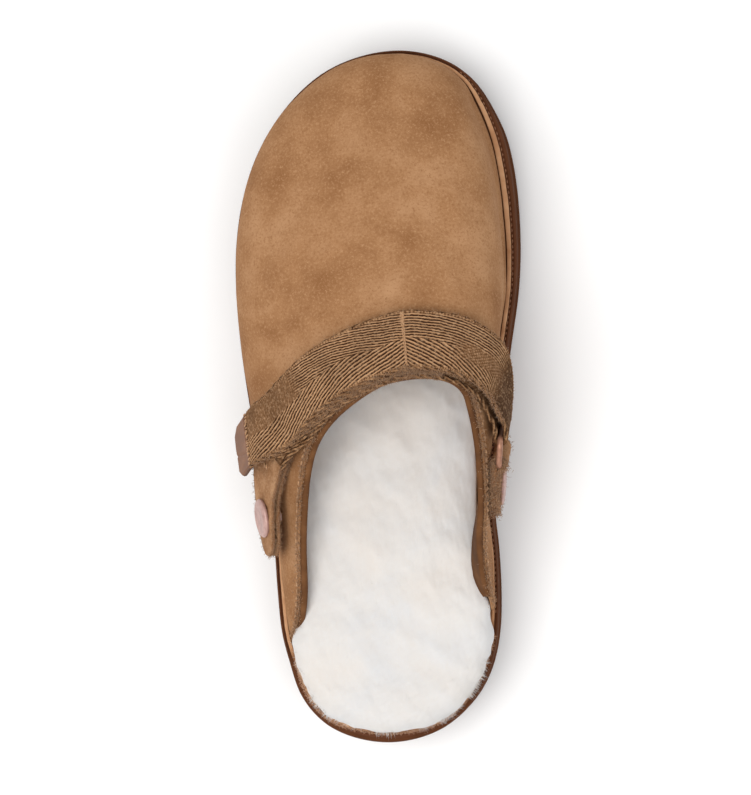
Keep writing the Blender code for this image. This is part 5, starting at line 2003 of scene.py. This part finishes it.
def make_tab_lateral():
    """Two leaves of suede with a dark line between them."""
    pieces = []
    length = TAPE_START + TAB_LAP
    for number in range(2):
        stations = []
        for k in range(TAB_STEPS):
            frame = frame_along(STRAP.lower, STRAP.lower_lengths, length * k / (TAB_STEPS - 1))
            high = TAB_THICK * (number + 1.0) + (0.0002 if number else -0.0002)
            stations.append((frame.at(0.0, high), frame.out, frame.side, LEAF - 0.0002))
        ribbon = Ribbon(stations, 0.0005)
        halves = tip_halves(ribbon.length - ribbon.spots, ribbon.length)
        pieces.append(strip_solid("tab_lateral_leaf_%d" % number, ribbon, halves, 40,
                                  TAB_SUEDE, suede_relief(0.00022, 70), value="edge"))
        pieces += tab_fuzz("tab_lateral_fuzz_%d" % number, ribbon, halves, (1300, 1300),
                           0.0008, 0.00009, 0.0005)
    return pieces


def make_tab_medial():
    length = RIVET_REACH + MEDIAL_TAIL
    steps = 16
    over = []
    under = []
    for k in range(steps + 1):
        ahead = length * k / steps
        frame = STRAP.rear.moved(ahead)
        spread = (FOLD_RISE - GAP) * (1.0 - ease(ahead / TAB_CLOSE))
        high = TAB_THICK + GAP + spread + TAB_THICK
        over.append((frame.at(0.0, high), frame.out, frame.side, MEDIAL_LEAF))
        under.append((frame.at(0.0, 0.0), -frame.out, frame.side, MEDIAL_LEAF))
    fold = fold_stations(REAR_BAR, -1.0, FOLD_INNER, TAB_THICK, 0.0, 180.0, 12)
    ribbon = Ribbon(over[::-1] + fold[1:-1] + under, 0.0005)
    ends = np.minimum(ribbon.spots, ribbon.length - ribbon.spots)
    halves = tip_halves(-ends, 0.0)

    counts = [3200 if side * TOE_SIDE < 0.0 else 1200 for side in (-1.0, 1.0)]
    loop = strip_solid("tab_medial_loop", ribbon, halves, 36, TAB_SUEDE, suede_relief(0.0002, 71), value="edge")
    return [loop] + tab_fuzz("tab_medial_fuzz_", ribbon, halves, counts, 0.0010, 0.00011, 0.0008)


CAP_STEPS = 6
CAP_FACETS = 72
WASHER_BEVEL = 0.0002
WASHER_HOLE = 0.0004


def make_cap(name, frame, seat, height=CAP_HEIGHT):
    """Domed cap with a turned rim, its post through the tab and wall, and a washer inside."""
    place, _ = nearest(TREE, frame.place, frame.out)
    behind = -((frame.place - place).length + WALL + 0.3 * WASHER_CLEARANCE)
    base = seat + GAP
    radius_at = curve(range(len(CAP_SIDE)), column(CAP_SIDE, 0))
    height_at = curve(range(len(CAP_SIDE)), column(CAP_SIDE, 1), level=True)
    profile = []
    for k in range(1, (len(CAP_SIDE) - 1) * CAP_STEPS + 1):
        place = k / CAP_STEPS
        profile.append((radius_at(place) * CAP_RADIUS, base + height_at(place) * height))
    profile += [
        (POST_RADIUS, base),
        (POST_RADIUS, behind),
        (WASHER_RADIUS - WASHER_BEVEL, behind),
        (WASHER_RADIUS, behind - WASHER_BEVEL),
        (WASHER_RADIUS, behind - WASHER_THICK + WASHER_BEVEL),
        (WASHER_RADIUS - WASHER_BEVEL, behind - WASHER_THICK),
        (WASHER_HOLE, behind - WASHER_THICK),
    ]
    turns = circle(CAP_FACETS)
    grid = np.array([
        [tuple(frame.at(radius * math.cos(t), rise, radius * math.sin(t))) for t in turns]
        for radius, rise in profile
    ])
    return loop_grid(name, grid, CAP)


def make_bar_stitches():
    """Two short pale bar tacks on the lateral tab in front of the tape."""
    frame = frame_along(STRAP.lower, STRAP.lower_lengths, TAPE_START - 0.0080)
    starts = []
    ways = []
    for shift in (-0.0008, 0.0008):
        starts.append(tuple(frame.at(0.0005 * TAB_SIDE + shift, 2.0 * TAB_THICK + 0.0005, -0.0012)))
        ways.append(tuple(frame.run))
    outs = [tuple(frame.out)] * 2
    return tubes("tab_tacks", starts, ways, outs, 0.0026, 0.00036, THREAD, tones=[0.0, 0.0])


TAB_SIDE = 1.0 if STRAP.lower[2].side.x > 0.0 else -1.0


# Camera, floor, lights and the whole scene

CAMERA_PLACE = Vector((0.0495, 0.1051, 1.0))
CAMERA_AIM = Vector((-0.0045, 0.1020, 0.030))
PIXELS_PER_METRE = 2520.0
FRAME_WIDTH = 751.0
SENSOR = 36.0


def make_camera():
    data = bpy.data.cameras.new("camera")
    data.sensor_fit = "HORIZONTAL"
    data.sensor_width = SENSOR
    data.lens = SENSOR * PIXELS_PER_METRE / FRAME_WIDTH
    data.clip_start = 0.01
    camera = bpy.data.objects.new("camera", data)
    look = (CAMERA_AIM - CAMERA_PLACE).normalized()
    right = look.cross(Vector((0.0, 1.0, 0.0))).normalized()
    up = right.cross(look)
    turn = Matrix((right, up, -look)).transposed()
    camera.matrix_world = Matrix.Translation(CAMERA_PLACE) @ turn.to_4x4()
    bpy.context.scene.collection.objects.link(camera)
    bpy.context.scene.camera = camera


# Softboxes. name; place; power in watts; colour
LIGHTS = (
    ("key", (-0.42, -0.02, 1.32), 12.0, (1.0, 0.985, 0.965)),
    ("fill", (0.50, -0.30, 1.10), 3.5, (0.98, 0.985, 1.0)),
)
LIGHT_AIM = Vector((0.0, 0.10, 0.03))
LIGHT_SIZE = 0.9
WORLD_STRENGTH = 0.58
FLOOR_HALF = 3.0


def make_light(name, place, power, colour):
    data = bpy.data.lights.new(name, "AREA")
    data.shape = "RECTANGLE"
    data.size = data.size_y = LIGHT_SIZE
    data.energy = power
    data.color = colour
    light = bpy.data.objects.new(name, data)
    light.location = place
    light.rotation_euler = (LIGHT_AIM - Vector(place)).to_track_quat("-Z", "Y").to_euler()
    bpy.context.scene.collection.objects.link(light)


def make_stage():
    finish = Finish("floor_paper", roughness=0.9)
    paper = finish.noise(0.05, 3.0, 0.5)
    finish.colour(finish.ramp(paper, (0.3, (0.95, 0.95, 0.95)), (0.7, (0.97, 0.97, 0.97))))
    half = FLOOR_HALF
    corners = [(-half, -half, 0.0), (half, -half, 0.0), (half, half, 0.0), (-half, half, 0.0)]
    floor = show_mesh("floor", corners, [(0, 1, 2, 3)], finish.material)
    world = bpy.data.worlds.new("studio")
    world.use_nodes = True
    world.node_tree.nodes["Background"].inputs["Color"].default_value = (1.0, 1.0, 1.0, 1.0)
    world.node_tree.nodes["Background"].inputs["Strength"].default_value = WORLD_STRENGTH
    bpy.context.scene.world = world
    for light in LIGHTS:
        make_light(*light)
    bpy.context.scene.view_settings.view_transform = "Standard"


def add(pieces, node):
    """Pieces that stand for a CAD node: each is attached to the root body and the node is hidden."""
    for piece in pieces if isinstance(pieces, list) else [pieces]:
        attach(piece, "root")
        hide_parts(node)


make_camera()
make_stage()
add(make_sole(), "outsole")
add([make_welt(), make_welt_stitches()], "welt")
add([make_insole(), make_skin_fuzz()], "insole")
add(make_fleece(), "fleece")
add(make_locks("fleece_locks", 1500, -0.04, 0.135, 0.0015, 0.00008, 31), "fleece")
add(make_locks("fleece_rim", 5500, -0.04, 0.006, 0.0015, 0.00009, 33, 0.0020), "fleece")
add([make_upper(), make_facing(), make_collar_stitches(), make_collar_fuzz()], "upper")
add([make_strap_top(), make_strap_lower()], "strap")
add(make_tape_edges() + make_tape_fuzz() + make_seam_stitches() + [make_end_stitches()], "strap")
add(make_closure(), "closure")
add(make_label(), "label")
add(make_ring(), "ring")
add(make_tab_lateral() + [make_bar_stitches()], "tab_lateral")
add(make_tab_medial(), "tab_medial")
SPOT = frame_along(STRAP.lower, STRAP.lower_lengths, LATERAL_TAIL)
add(make_cap("cap_lateral", SPOT, 2.0 * TAB_THICK), "snap_lateral")
add(make_cap("cap_medial", STRAP.rear.moved(RIVET_REACH), 2.0 * TAB_THICK + GAP, 0.0012),
    "snap_medial")
